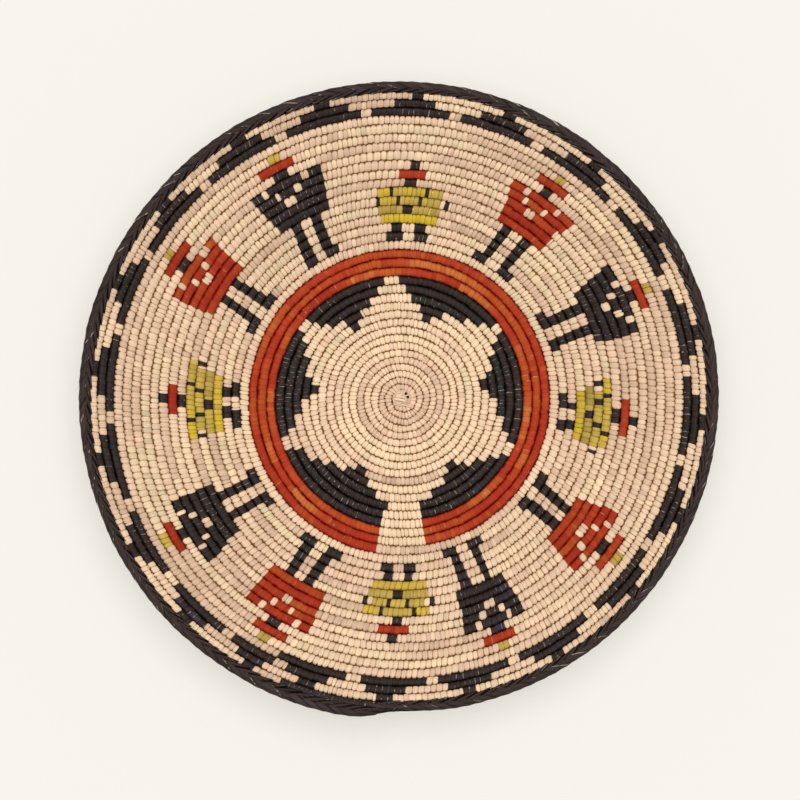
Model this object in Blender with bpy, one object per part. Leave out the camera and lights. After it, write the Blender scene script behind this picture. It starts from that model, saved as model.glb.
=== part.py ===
"""A coiled wall plate: one long bundle wound in a flat spiral, sewn turn by turn, with a braided rim.

The plate lies face up. Its coil starts near the origin and winds outwards anticlockwise, seen from above.
A place along the coil is its turn number: a whole number lies at six o'clock, where the pathway is.
"""

import math

import bmesh
import bpy
from mathutils import Vector

# Sizes in metres, angles in degrees
COIL_START_X = 0.00095
COIL_START_Y = 0.00125
SETTLING_TURNS = 10
FIRST_PITCH = 0.00385
FIELD_PITCH = 0.0056
BORDER_PITCH = 0.0051
OUTER_SHIFT_X = -0.0005
OUTER_SHIFT_Y = 0.0008
OUTER_OVAL = 0.003
OUTER_FROM_TURN = 20
OUTER_TURNS = 18
COIL_THICKNESS = 0.0050
SEWING_GAP = 0.0003
BUNDLE_CLEARANCE = 0.0002
KNOT_HEIGHT = 0.0040
BASE_RADIUS = 0.070
WALL_BEND_RADIUS = 0.150
WALL_SLOPE = 18.0
PATHWAY_BEFORE = 10.0
PATHWAY_AFTER = 8.0

# The braided rim starts before six o'clock, and its end passes over its start
RIM_LEAD = 23.0
RIM_OVERLAP = 21.0
RIM_TAPER = 11.0
RIM_WIDTH = 0.0062
RIM_THICKNESS = 0.0062
RIM_TAIL_WIDTH = 0.0032

# Turns of the coil in each zone, from the centre out. The knot takes the place of the first turn.
KNOT_TURNS = 1
CENTRE_TURNS = 9
STAR_TURNS = 6
STAR_BLACK_TURNS = 3
RING_TURNS = 3
FIELD_TURNS = 15
BORDER_TURNS = 3
GROWING_TURNS = 16

# The coil's section, as shares of its half width and half thickness
SHOULDER_SHARE = 0.5
RIM_SHOULDER_SHARE = 0.6
BORE_WIDTH_SHARE = 0.60
BORE_FOOT_SHARE = 0.48
BORE_TOP_SHARE = 0.76

# Straight facets in each turn, by the turn that they start from. Each count divides the next one, so that
# a turn's corners lie on corners of the turn round it.
FACETS_FROM_TURN = ((0, 12), (8, 24))

NATURAL = ("natural_splint", (0.78, 0.58, 0.37), 0.55)
BLACK = ("black_dyed_splint", (0.035, 0.026, 0.026), 0.50)
RED = ("red_dyed_splint", (0.42, 0.055, 0.018), 0.52)
RODS = ("peeled_rods", (0.55, 0.40, 0.23), 0.70)

STAR_START = KNOT_TURNS + CENTRE_TURNS
RING_START = STAR_START + STAR_TURNS
FIELD_START = RING_START + RING_TURNS
BORDER_START = FIELD_START + FIELD_TURNS
RIM_START = BORDER_START + BORDER_TURNS - RIM_LEAD / 360
RIM_END = RIM_START + 1 + RIM_OVERLAP / 360

SIX_O_CLOCK = math.radians(-90)


def clear_scene():
    for obj in list(bpy.data.objects):
        bpy.data.objects.remove(obj)


def material(finish):
    name, colour, roughness = finish
    made = bpy.data.materials.get(name)
    if made is None:
        made = bpy.data.materials.new(name)
        made.use_nodes = True
        shader = made.node_tree.nodes["Principled BSDF"]
        shader.inputs["Base Color"].default_value = (*colour, 1.0)
        shader.inputs["Roughness"].default_value = roughness
        shader.inputs["Metallic"].default_value = 0.0
        made.diffuse_color = (*colour, 1.0)
    return made


def eased(share):
    share = min(1.0, max(0.0, share))
    return share * share * (3 - 2 * share)


def boundary_radius(turn):
    """Radius of the line between two turns of the coil: its pitch grows, then stays, and is finer in the border."""
    growing = min(turn, GROWING_TURNS)
    border = max(0.0, turn - BORDER_START)
    growth = (FIELD_PITCH - FIRST_PITCH) / GROWING_TURNS
    grown = FIRST_PITCH * growing + growth * growing * growing / 2
    return grown + FIELD_PITCH * (turn - growing - border) + BORDER_PITCH * border


def plate_height(radius):
    """Height of the coil's middle: a flat base, an arc, and a straight sloping wall."""
    slope = math.radians(WALL_SLOPE)
    bend_end = WALL_BEND_RADIUS * math.sin(slope)
    out = max(0.0, radius - BASE_RADIUS)
    along = min(out, bend_end)
    arc = WALL_BEND_RADIUS - math.sqrt(WALL_BEND_RADIUS ** 2 - along ** 2)
    return COIL_THICKNESS / 2 + arc + (out - along) * math.tan(slope)


def boundary_point(turn, inset=0.0):
    """A point between two turns. The coil starts a little off the plate's centre, and its turns even that out.

    The outer turns lie a little off it again, and are wider from side to side than from top to bottom.
    """
    angle = SIX_O_CLOCK + 2 * math.pi * turn
    radius = boundary_radius(turn) - inset
    off_centre = 1 - eased(turn / SETTLING_TURNS)
    outer = eased((turn - OUTER_FROM_TURN) / OUTER_TURNS)
    oval = OUTER_OVAL * outer
    return Vector((
        COIL_START_X * off_centre + OUTER_SHIFT_X * outer + radius * (1 + oval) * math.cos(angle),
        COIL_START_Y * off_centre + OUTER_SHIFT_Y * outer + radius * (1 - oval) * math.sin(angle),
        plate_height(radius),
    ))


def rim_size(turn):
    """Width and thickness of the rim: its start lies under its own end, and both ends taper."""
    taper = RIM_TAPER / 360
    cover = RIM_END - 1
    if turn < cover:
        share = eased((turn - RIM_START) / taper)
        width = RIM_TAIL_WIDTH + (BORDER_PITCH - RIM_TAIL_WIDTH) * share
    elif turn < RIM_END - taper:
        share = eased((turn - cover) / taper)
        width = BORDER_PITCH + (RIM_WIDTH - BORDER_PITCH) * share
    else:
        share = eased((RIM_END - turn) / taper)
        width = RIM_TAIL_WIDTH + (RIM_WIDTH - RIM_TAIL_WIDTH) * share
    return width, RIM_THICKNESS * (1 + width / RIM_WIDTH) / 2


def section(turn, rim=False):
    """Middle, outward direction, face direction, half width and half thickness of the coil at a place."""
    near = boundary_point(turn)
    across = boundary_point(turn + 1) - near
    outward = across.normalized()
    width, thickness = rim_size(turn) if rim else (across.length, COIL_THICKNESS)
    angle = SIX_O_CLOCK + 2 * math.pi * turn
    along = Vector((-math.sin(angle), math.cos(angle), 0.0))
    face = outward.cross(along)
    return near + outward * width / 2, outward, face, (width - SEWING_GAP) / 2, thickness / 2


def facets_at(turn):
    return [count for start, count in FACETS_FROM_TURN if turn >= start][-1]


def stations(start, end):
    """Places along the coil where its straight facets meet, with the two ends."""
    found = [start]
    for whole in range(math.floor(start), math.ceil(end)):
        count = facets_at(whole)
        shortest = 0.02 / count
        for i in range(count):
            place = whole + i / count
            if start + shortest < place < end - shortest:
                found.append(place)
    return found + [end]


def on_facets(outline, turn):
    """The outline's points at a place, moved onto the straight facet between its two corners."""
    tolerance = 1e-6
    whole = math.floor(turn + tolerance)
    count = facets_at(whole)
    share = (turn - whole) * count
    first = math.floor(share + tolerance)
    share -= first
    if share < tolerance:
        return outline(turn)
    before = outline(whole + first / count)
    after = outline(whole + (first + 1) / count)
    return [a.lerp(b, share) for a, b in zip(before, after)]


def sewing_outline(rim=False):
    """Six corners round the outside of the sewing."""
    shoulder = RIM_SHOULDER_SHARE if rim else SHOULDER_SHARE

    def outline(turn):
        middle, outward, face, half_width, half_thickness = section(turn, rim)
        corners = (
            (-1, 0), (-shoulder, -1), (shoulder, -1),
            (1, 0), (shoulder, 1), (-shoulder, 1),
        )
        return [middle + outward * half_width * x + face * half_thickness * y for x, y in corners]

    return outline


def moved_in(corners, inset):
    """A triangle with each of its sides moved in by the inset."""
    a, b, c = corners
    sides = ((b - c).length, (c - a).length, (a - b).length)
    centre = (a * sides[0] + b * sides[1] + c * sides[2]) / sum(sides)
    inner_radius = (b - a).cross(c - a).length / sum(sides)
    return [centre + (corner - centre) * (1 - inset / inner_radius) for corner in corners]


def bundle_outline(rim=False, inset=0.0):
    """Three corners round the bunched rods, two below and one above."""

    def outline(turn):
        middle, outward, face, half_width, half_thickness = section(turn, rim)
        side = outward * half_width * BORE_WIDTH_SHARE
        foot = middle - face * half_thickness * BORE_FOOT_SHARE
        top = middle + face * half_thickness * BORE_TOP_SHARE
        return moved_in((foot - side, foot + side, top), inset)

    return outline


def add_object(name, mesh_data, finish):
    mesh = bpy.data.meshes.new(name)
    bmesh.ops.recalc_face_normals(mesh_data, faces=mesh_data.faces)
    mesh_data.to_mesh(mesh)
    mesh_data.free()
    mesh.materials.append(material(finish))
    mesh.shade_smooth()
    mesh.set_sharp_from_angle(angle=math.radians(70))
    obj = bpy.data.objects.new(name, mesh)
    bpy.context.scene.collection.objects.link(obj)
    return obj


def add_rings(mesh_data, outline, places):
    """Rings of corners at the places, joined by faces along the coil."""
    rings = [[mesh_data.verts.new(p) for p in on_facets(outline, place)] for place in places]
    sides = len(rings[0])
    for before, after in zip(rings, rings[1:]):
        for i in range(sides):
            j = (i + 1) % sides
            mesh_data.faces.new((before[i], before[j], after[j], after[i]))
    return rings


def join_ends(mesh_data, outer, inner):
    """An end of a sleeve: each bore corner faces three of the six outer corners."""
    for i in range(3):
        near = inner[i]
        a, b, c = outer[2 * i], outer[2 * i + 1], outer[(2 * i + 2) % 6]
        mesh_data.faces.new((near, a, b))
        mesh_data.faces.new((near, b, c))
        mesh_data.faces.new((near, c, inner[(i + 1) % 3]))


def add_sleeve(name, start, end, finish, rim=False):
    """Sewing that wraps the bundle from one place to another, open for the bundle at both ends."""
    places = stations(start, end)
    mesh_data = bmesh.new()
    outer = add_rings(mesh_data, sewing_outline(rim), places)
    inner = add_rings(mesh_data, bundle_outline(rim), places)
    for end_index in (0, -1):
        join_ends(mesh_data, outer[end_index], inner[end_index])
    return add_object(name, mesh_data, finish)


def end_gap(turn):
    """Half of the gap between two lengths of sewing, as a part of a turn."""
    middle_radius = (boundary_radius(turn) + boundary_radius(turn + 1)) / 2
    return SEWING_GAP / (4 * math.pi * middle_radius)


def add_sewing(name, start, end, finish):
    add_sleeve(name, start + end_gap(start), end - end_gap(end), finish)


def add_bundle():
    """The rods run unbroken from the centre knot to the end of the rim."""
    mesh_data = bmesh.new()
    rim_end = RIM_END - RIM_TAPER / 360 / 2
    coil_places = stations(KNOT_TURNS + end_gap(KNOT_TURNS), RIM_START - end_gap(RIM_START))
    rim_places = stations(RIM_START + end_gap(RIM_START), rim_end)
    coil = add_rings(mesh_data, bundle_outline(inset=BUNDLE_CLEARANCE), coil_places)
    rim = add_rings(mesh_data, bundle_outline(rim=True, inset=BUNDLE_CLEARANCE), rim_places)
    for i in range(3):
        j = (i + 1) % 3
        mesh_data.faces.new((coil[-1][i], coil[-1][j], rim[0][j], rim[0][i]))
    mesh_data.faces.new(coil[0])
    mesh_data.faces.new(rim[-1])
    return add_object("rod_bundle", mesh_data, RODS)


def add_start_knot():
    """The wad that the coil starts round fills the hole inside the first turn and rests on its flat foot."""
    places = stations(KNOT_TURNS, KNOT_TURNS + 1 - 4 * end_gap(KNOT_TURNS))
    mesh_data = bmesh.new()
    rings = []
    for height in (0, KNOT_HEIGHT):
        ring = []
        for place in places:
            edge = on_facets(lambda turn: [boundary_point(turn, SEWING_GAP)], place)[0]
            ring.append(mesh_data.verts.new((edge.x, edge.y, height)))
        rings.append(ring)
    lower, upper = rings
    mesh_data.faces.new(lower)
    mesh_data.faces.new(upper)
    for i in range(len(lower)):
        j = (i + 1) % len(lower)
        mesh_data.faces.new((lower[i], lower[j], upper[j], upper[i]))
    return add_object("start_knot", mesh_data, NATURAL)


def add_ring_turn(turn):
    """A red turn, open at six o'clock for the pathway, whose stitches are undyed."""
    red_start = turn + PATHWAY_AFTER / 360
    red_end = turn + 1 - PATHWAY_BEFORE / 360
    pathway_end = turn + 1 + PATHWAY_AFTER / 360
    if turn == RING_START:
        add_sewing("pathway_sewing_inner_end", turn, red_start, NATURAL)
    if turn == FIELD_START - 1:
        pathway_end = FIELD_START
    add_sewing(f"red_ring_sewing_turn_{turn:02d}", red_start, red_end, RED)
    add_sewing(f"pathway_sewing_turn_{turn:02d}", red_end, pathway_end, NATURAL)


def add_turns():
    """One length of sewing for each turn of the coil, out to the rim."""
    for turn in range(KNOT_TURNS, math.ceil(RIM_START)):
        end = min(turn + 1, RIM_START)
        if turn < STAR_START:
            add_sewing(f"centre_sewing_turn_{turn:02d}", turn, end, NATURAL)
        elif turn < RING_START:
            black = turn >= RING_START - STAR_BLACK_TURNS
            add_sewing(f"star_sewing_turn_{turn:02d}", turn, end, BLACK if black else NATURAL)
        elif turn < FIELD_START:
            add_ring_turn(turn)
        elif turn < BORDER_START:
            add_sewing(f"field_sewing_turn_{turn:02d}", turn, end, NATURAL)
        else:
            outermost = turn == math.ceil(RIM_START) - 1
            add_sewing(f"border_sewing_turn_{turn:02d}", turn, end, NATURAL if outermost else BLACK)


def build():
    clear_scene()
    add_bundle()
    add_start_knot()
    add_turns()
    add_sleeve("rim_braid", RIM_START + end_gap(RIM_START), RIM_END, BLACK, rim=True)


build()
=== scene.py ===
import bisect
import math
import random

import bmesh
import bpy
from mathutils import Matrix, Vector


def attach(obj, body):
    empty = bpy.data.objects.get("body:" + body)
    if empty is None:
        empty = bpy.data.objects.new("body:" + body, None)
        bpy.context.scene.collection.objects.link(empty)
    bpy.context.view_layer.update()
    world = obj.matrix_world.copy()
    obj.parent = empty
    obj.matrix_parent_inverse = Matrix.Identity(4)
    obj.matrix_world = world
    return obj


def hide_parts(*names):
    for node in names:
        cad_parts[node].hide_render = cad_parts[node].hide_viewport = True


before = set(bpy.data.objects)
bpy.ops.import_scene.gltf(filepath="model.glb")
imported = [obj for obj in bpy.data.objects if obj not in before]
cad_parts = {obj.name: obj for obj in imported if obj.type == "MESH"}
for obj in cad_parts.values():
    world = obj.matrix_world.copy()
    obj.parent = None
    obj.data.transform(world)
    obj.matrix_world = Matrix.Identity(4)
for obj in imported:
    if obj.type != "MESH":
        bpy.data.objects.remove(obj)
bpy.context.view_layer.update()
print("frame loaded:", len(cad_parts), "nodes")

# The plate lies face up. A place along the coil is its turn number from the centre, whole at six o'clock.
# Lengths are in metres and angles in degrees, unless a note says otherwise.
coil = {
    "startX": 0.0007,
    "startY": 0.0004,
    "settlingTurns": 10.0,
    "firstPitch": 0.00385,
    "fieldPitch": 0.0056,
    "growingTurns": 16.0,
    "borderPitch": 0.0051,
    "borderTurn": 34.0,
    "outerShiftX": -0.0005,
    "outerShiftY": 0.0008,
    "outerOval": 0.003,
    "outerFromTurn": 20.0,
    "outerTurns": 18.0,
    "wobble": 0.00030,
    "wobblesPerTurn": 9.0,
    "wobbleStretch": 4.0,  # because noise stays close to its middle
    "earlyWobble": 2.0,
    "earlyFromTurn": 0.5,
    "earlyToTurn": 7.0,
    "thickness": 0.0050,
    "innerFlatness": 0.78,  # height against thickness up to the turn below, and then it grows to 1
    "flatToTurn": 2.0,
    "roundingTurns": 13.0,
    "baseRadius": 0.070,
    "bendRadius": 0.150,
    "wallSlope": 18.0,
    "firstTurn": 0.80,
    "sixOClock": -90.0,
}
tiny = 1e-9  # far less than any of these sizes


def boundaryRadius(turn):
    growing = min(turn, coil["growingTurns"])
    border = max(0.0, turn - coil["borderTurn"])
    growth = (coil["fieldPitch"] - coil["firstPitch"]) / coil["growingTurns"]
    grown = coil["firstPitch"] * growing + growth * growing ** 2 / 2
    return grown + coil["fieldPitch"] * (turn - growing - border) + coil["borderPitch"] * border


def middleRadius(turn):
    return (boundaryRadius(turn) + boundaryRadius(turn + 1)) / 2


def clamped(value):
    return min(1.0, max(0.0, value))


def eased(share):
    share = clamped(share)
    return share * share * (3 - 2 * share)


# Small helpers for node trees

def feed(tree, sockets, values):
    for socket, value in zip(sockets, values):
        if isinstance(value, bpy.types.NodeSocket):
            tree.links.new(value, socket)
        elif value is not None:
            socket.default_value = value


def mathNode(tree, operation, *values):
    node = tree.nodes.new("ShaderNodeMath")
    node.operation = operation
    feed(tree, node.inputs, values)
    return node.outputs[0]


def plus(tree, a, b):
    return mathNode(tree, "ADD", a, b)


def minus(tree, a, b):
    return mathNode(tree, "SUBTRACT", a, b)


def times(tree, a, b):
    return mathNode(tree, "MULTIPLY", a, b)


def timesPlus(tree, a, b, c):
    # a times b, and c added
    return mathNode(tree, "MULTIPLY_ADD", a, b, c)


def vectorNode(tree, operation, *values, scale=None, out="Vector"):
    node = tree.nodes.new("ShaderNodeVectorMath")
    node.operation = operation
    feed(tree, node.inputs, values)
    if scale is not None:
        feed(tree, [node.inputs["Scale"]], [scale])
    return node.outputs[out]


def shifted(tree, point, direction, by):
    return vectorNode(tree, "ADD", point, vectorNode(tree, "SCALE", direction, scale=by))


def combine(tree, x, y, z):
    node = tree.nodes.new("ShaderNodeCombineXYZ")
    feed(tree, node.inputs, (x, y, z))
    return node.outputs[0]


def separate(tree, vector):
    node = tree.nodes.new("ShaderNodeSeparateXYZ")
    feed(tree, node.inputs, (vector,))
    return node.outputs


def pointPlace(tree):
    return separate(tree, tree.nodes.new("GeometryNodeInputPosition").outputs[0])


def moved(tree, geometry, label, vector):
    # the label says what the vector is: Position or Offset
    node = tree.nodes.new("GeometryNodeSetPosition")
    feed(tree, (node.inputs["Geometry"], node.inputs[label]), (geometry, vector))
    return node.outputs[0]


def smoothStep(tree, value, start, end, low, high):
    node = tree.nodes.new("ShaderNodeMapRange")
    node.interpolation_type = "SMOOTHSTEP"
    feed(tree, node.inputs, (value, start, end, low, high))
    return node.outputs[0]


# The sizes that every tree which follows the coil takes as inputs
coilInputs = [
    ("First Pitch", "Float", coil["firstPitch"]),
    ("Field Pitch", "Float", coil["fieldPitch"]),
    ("Border Pitch", "Float", coil["borderPitch"]),
    ("Growing Turns", "Float", coil["growingTurns"]),
    ("Settling Turns", "Float", coil["settlingTurns"]),
    ("Border Turn", "Float", coil["borderTurn"]),
    ("Outer From Turn", "Float", coil["outerFromTurn"]),
    ("Outer Turns", "Float", coil["outerTurns"]),
    ("Outer Oval", "Float", coil["outerOval"]),
    ("Wobble", "Float", coil["wobble"]),
    ("Wobbles Per Turn", "Float", coil["wobblesPerTurn"]),
    ("Outer Shift", "Vector", (coil["outerShiftX"], coil["outerShiftY"], 0.0)),
    ("Thickness", "Float", coil["thickness"]),
    ("Base Radius", "Float", coil["baseRadius"]),
    ("Bend Radius", "Float", coil["bendRadius"]),
    ("Wall Slope", "Float", math.radians(coil["wallSlope"])),
    ("Start", "Vector", (coil["startX"], coil["startY"], 0.0)),
]


def newTree(name, inputs, output):
    # every tree takes its own inputs and then the coil's sizes
    tree = bpy.data.node_groups.new(name, "GeometryNodeTree")
    for label, kind, value in inputs + coilInputs:
        socket = tree.interface.new_socket(label, in_out="INPUT", socket_type="NodeSocket" + kind)
        if value is not None:
            socket.default_value = value
    tree.interface.new_socket(output[0], in_out="OUTPUT", socket_type="NodeSocket" + output[1])
    return tree, tree.nodes.new("NodeGroupInput").outputs, tree.nodes.new("NodeGroupOutput").inputs[0]


def namedValue(tree, name):
    node = tree.nodes.new("GeometryNodeInputNamedAttribute")
    node.data_type = "FLOAT"
    node.inputs["Name"].default_value = name
    return node.outputs["Attribute"]


def storedValue(tree, geometry, name, value):
    node = tree.nodes.new("GeometryNodeStoreNamedAttribute")
    node.data_type = "FLOAT"
    node.domain = "POINT"
    node.inputs["Name"].default_value = name
    feed(tree, (node.inputs["Geometry"], node.inputs["Value"]), (geometry, value))
    return node.outputs[0]


def randomValue(tree, low, high, seed):
    node = tree.nodes.new("FunctionNodeRandomValue")
    node.data_type = "FLOAT"
    limits = [socket for socket in node.inputs if socket.name in ("Min", "Max") and socket.type == "VALUE"]
    feed(tree, limits, (low, high))
    feed(tree, [node.inputs["Seed"]], [seed])
    return [socket for socket in node.outputs if socket.enabled][0]


def runTree(tree, given, inner, label, value):
    # a tree inside another one, on the same coil
    node = tree.nodes.new("GeometryNodeGroup")
    node.node_tree = inner
    for size, _, _ in coilInputs:
        tree.links.new(given[size], node.inputs[size])
    tree.links.new(value, node.inputs[label])
    return node.outputs[0]


def makeBoundaryTree():
    # a turn number in, a point on the line between two turns out
    tree, given, result = newTree("coilBoundary", [("Turn", "Float", 0.0)], ("Point", "Vector"))
    turn, first, field = given["Turn"], given["First Pitch"], given["Field Pitch"]
    growing = mathNode(tree, "MINIMUM", turn, given["Growing Turns"])
    border = mathNode(tree, "MAXIMUM", minus(tree, turn, given["Border Turn"]), 0.0)
    growth = mathNode(tree, "DIVIDE", minus(tree, field, first), given["Growing Turns"])
    halfSquare = times(tree, times(tree, growing, growing), 0.5)
    even = minus(tree, minus(tree, turn, growing), border)
    radius = timesPlus(tree, growth, halfSquare, times(tree, first, growing))
    radius = timesPlus(tree, even, field, radius)
    radius = timesPlus(tree, border, given["Border Pitch"], radius)

    # the coil's small wobbles, stronger in the first turns
    uneven = tree.nodes.new("ShaderNodeTexNoise")
    uneven.noise_dimensions = "1D"
    feed(tree, (uneven.inputs["W"], uneven.inputs["Scale"]), (turn, given["Wobbles Per Turn"]))
    off = times(tree, minus(tree, uneven.outputs["Fac"], 0.5), coil["wobbleStretch"])
    early = smoothStep(tree, turn, coil["earlyFromTurn"], coil["earlyToTurn"], coil["earlyWobble"], 1.0)
    radius = timesPlus(tree, off, times(tree, early, given["Wobble"]), radius)

    # the dish: a flat base, an arc and a straight wall
    bend, slope = given["Bend Radius"], given["Wall Slope"]
    out = mathNode(tree, "MAXIMUM", minus(tree, radius, given["Base Radius"]), 0.0)
    inArc = mathNode(tree, "MINIMUM", out, times(tree, bend, mathNode(tree, "SINE", slope)))
    leg = mathNode(tree, "SQRT", minus(tree, times(tree, bend, bend), times(tree, inArc, inArc)))
    arc = minus(tree, bend, leg)
    rise = timesPlus(tree, minus(tree, out, inArc), mathNode(tree, "TANGENT", slope), arc)
    height = timesPlus(tree, given["Thickness"], 0.5, rise)

    # round the centre, off it at the start, and a little oval and to one side towards the rim
    angle = timesPlus(tree, turn, 2 * math.pi, math.radians(coil["sixOClock"]))
    lastTurn = plus(tree, given["Outer From Turn"], given["Outer Turns"])
    outer = smoothStep(tree, turn, given["Outer From Turn"], lastTurn, 0.0, 1.0)
    oval = times(tree, outer, given["Outer Oval"])
    wide = times(tree, radius, plus(tree, 1.0, oval))
    tall = times(tree, radius, minus(tree, 1.0, oval))
    x = times(tree, wide, mathNode(tree, "COSINE", angle))
    y = times(tree, tall, mathNode(tree, "SINE", angle))
    point = combine(tree, x, y, height)
    offCentre = smoothStep(tree, turn, 0.0, given["Settling Turns"], 1.0, 0.0)
    point = shifted(tree, point, given["Start"], offCentre)
    tree.links.new(shifted(tree, point, given["Outer Shift"], outer), result)
    return tree


def makeLayTree(boundaryTree):
    # lays a straight row on the plate: x in turns, y and z in shares of the coil's half width and half
    # thickness
    tree, given, result = newTree("layOnPlate", [("Geometry", "Geometry", None)], ("Geometry", "Geometry"))
    x, y, z = pointPlace(tree)
    near, far = (runTree(tree, given, boundaryTree, "Turn", turn) for turn in (x, plus(tree, x, 1.0)))
    across = vectorNode(tree, "SUBTRACT", far, near)
    outward = vectorNode(tree, "NORMALIZE", across)
    fromMiddle = minus(tree, x, namedValue(tree, "at"))
    width, height = (
        timesPlus(tree, fromMiddle, namedValue(tree, size + "Slope"), namedValue(tree, size + "Share"))
        for size in ("width", "height"))
    width = times(tree, vectorNode(tree, "LENGTH", across, out="Value"), width)
    angle = times(tree, x, 2 * math.pi)
    alongCoil = combine(tree, mathNode(tree, "COSINE", angle), mathNode(tree, "SINE", angle), 0.0)
    face = vectorNode(tree, "CROSS_PRODUCT", outward, alongCoil)
    acrossBy = times(tree, width, timesPlus(tree, y, 0.5, 0.5))
    upBy = times(tree, times(tree, times(tree, given["Thickness"], 0.5), z), height)
    placed = shifted(tree, shifted(tree, near, outward, acrossBy), face, upBy)
    flip = tree.nodes.new("GeometryNodeFlipFaces")
    tree.links.new(moved(tree, given["Geometry"], "Position", placed), flip.inputs["Mesh"])
    tree.links.new(flip.outputs[0], result)
    return tree


def finishTree(tree, given, geometry, result):
    painted = tree.nodes.new("GeometryNodeSetMaterial")
    feed(tree, (painted.inputs["Geometry"], painted.inputs["Material"]), (geometry, given["Finish"]))
    tree.links.new(painted.outputs[0], result)


def makeSewingTree(layTree):
    # one band on each point, sheared by its run's lean and a random slant, then laid on the plate
    tree, given, result = newTree(
        "sewing",
        [("Geometry", "Geometry", None), ("Band", "Object", None), ("Finish", "Material", None),
         ("Slant", "Float", 0.1), ("Loose", "Float", 0.03), ("Seed", "Int", 1)],
        ("Geometry", "Geometry"))
    seed, slant = given["Seed"], given["Slant"]
    own = randomValue(tree, times(tree, slant, -1.0), slant, seed)
    points = storedValue(tree, given["Geometry"], "slant", plus(tree, own, namedValue(tree, "lean")))
    fibre = randomValue(tree, 0.0, splint["fibreRange"], plus(tree, seed, 1))
    points = storedValue(tree, points, "fibre", fibre)
    plump = randomValue(tree, minus(tree, 1.0, given["Loose"]), 1.0, plus(tree, seed, 2))
    shape = tree.nodes.new("GeometryNodeObjectInfo")
    tree.links.new(given["Band"], shape.inputs["Object"])
    place = tree.nodes.new("GeometryNodeInstanceOnPoints")
    tree.links.new(points, place.inputs["Points"])
    tree.links.new(shape.outputs["Geometry"], place.inputs["Instance"])
    long = plus(tree, 1.0, namedValue(tree, "reach"))
    tree.links.new(combine(tree, namedValue(tree, "wide"), long, plump), place.inputs["Scale"])
    real = tree.nodes.new("GeometryNodeRealizeInstances")
    tree.links.new(place.outputs[0], real.inputs[0])
    _, y, _ = pointPlace(tree)
    lean = times(tree, y, times(tree, namedValue(tree, "slant"), namedValue(tree, "wide")))
    sheared = moved(tree, real.outputs[0], "Offset", combine(tree, lean, namedValue(tree, "across"), 0.0))
    finishTree(tree, given, runTree(tree, given, layTree, "Geometry", sheared), result)
    return tree


def makeBundleTree(layTree):
    # a straight tube along the turns, laid on the plate
    tree, given, result = newTree(
        "bundle",
        [("Geometry", "Geometry", None), ("Finish", "Material", None), ("Sides", "Int", 8),
         ("Half Width", "Float", 1.03), ("Half Height", "Float", 0.8)],
        ("Geometry", "Geometry"))
    line = tree.nodes.new("GeometryNodeMeshToCurve")
    tree.links.new(given["Geometry"], line.inputs[0])
    ring = tree.nodes.new("GeometryNodeCurvePrimitiveCircle")
    tree.links.new(given["Sides"], ring.inputs["Resolution"])
    ring.inputs["Radius"].default_value = 1.0
    tube = tree.nodes.new("GeometryNodeCurveToMesh")
    tree.links.new(line.outputs[0], tube.inputs["Curve"])
    tree.links.new(ring.outputs[0], tube.inputs["Profile Curve"])
    tube.inputs["Fill Caps"].default_value = True
    x, y, z = pointPlace(tree)
    flat = combine(tree, x, times(tree, y, given["Half Width"]), times(tree, z, given["Half Height"]))
    flatter = moved(tree, tube.outputs[0], "Position", flat)
    finishTree(tree, given, runTree(tree, given, layTree, "Geometry", flatter), result)
    return tree


def addObject(name, data):
    made = bpy.data.objects.new(name, data)
    bpy.context.scene.collection.objects.link(made)
    return made


def pointMesh(name, places, rows, joined=False):
    # points at places along x, each with its row of named values
    mesh = bpy.data.meshes.new(name)
    edges = [(i, i + 1) for i in range(len(places) - 1)] if joined else []
    mesh.from_pydata([(place, 0.0, 0.0) for place in places], edges, [])
    for label in rows[0]:
        values = [row[label] for row in rows]
        mesh.attributes.new(label, "FLOAT", "POINT").data.foreach_set("value", values)
    return mesh


def grow(name, mesh, tree, values):
    # runs the tree on the mesh and keeps the result as a plain piece
    holder = addObject(name + "Points", mesh)
    modifier = holder.modifiers.new("grow", "NODES")
    modifier.node_group = tree
    sockets = {item.name: item.identifier for item in tree.interface.items_tree if item.in_out == "INPUT"}
    for label, value in values.items():
        modifier[sockets[label]] = value
    made = bpy.data.meshes.new_from_object(holder.evaluated_get(bpy.context.evaluated_depsgraph_get()))
    made.name = name
    bpy.data.objects.remove(holder)
    bpy.data.meshes.remove(mesh)
    return addObject(name, made)


# Colours are written as the eye reads them, 0 to 255

def colour(red, green, blue):
    linear = []
    for value in (red / 255, green / 255, blue / 255):
        linear.append(value / 12.92 if value <= 0.04045 else ((value + 0.055) / 1.055) ** 2.4)
    return (*linear, 1.0)


def ramp(tree, factor, stops):
    node = tree.nodes.new("ShaderNodeValToRGB")
    elements = node.color_ramp.elements
    while len(elements) < len(stops):
        elements.new(0.5)
    for element, (place, shade) in zip(elements, stops):
        element.position = place
        element.color = shade
    tree.links.new(factor, node.inputs[0])
    return node.outputs["Color"]


def grey(value):
    return (value, value, value, 1.0)


def mixColour(tree, kind, factor, a, b):
    node = tree.nodes.new("ShaderNodeMix")
    node.data_type = "RGBA"
    node.blend_type = kind
    colours = [socket for socket in node.inputs if socket.type == "RGBA"]
    feed(tree, (node.inputs["Factor"], *colours), (factor, a, b))
    return [socket for socket in node.outputs if socket.type == "RGBA"][0]


def noise(tree, vector, scale, detail=2.0, roughness=0.5):
    node = tree.nodes.new("ShaderNodeTexNoise")
    feed(tree, (node.inputs["Vector"],), (vector,))
    node.inputs["Scale"].default_value = scale
    node.inputs["Detail"].default_value = detail
    node.inputs["Roughness"].default_value = roughness
    return node.outputs["Fac"]


def attribute(tree, name):
    node = tree.nodes.new("ShaderNodeAttribute")
    node.attribute_name = name
    return node.outputs["Fac"]


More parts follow.
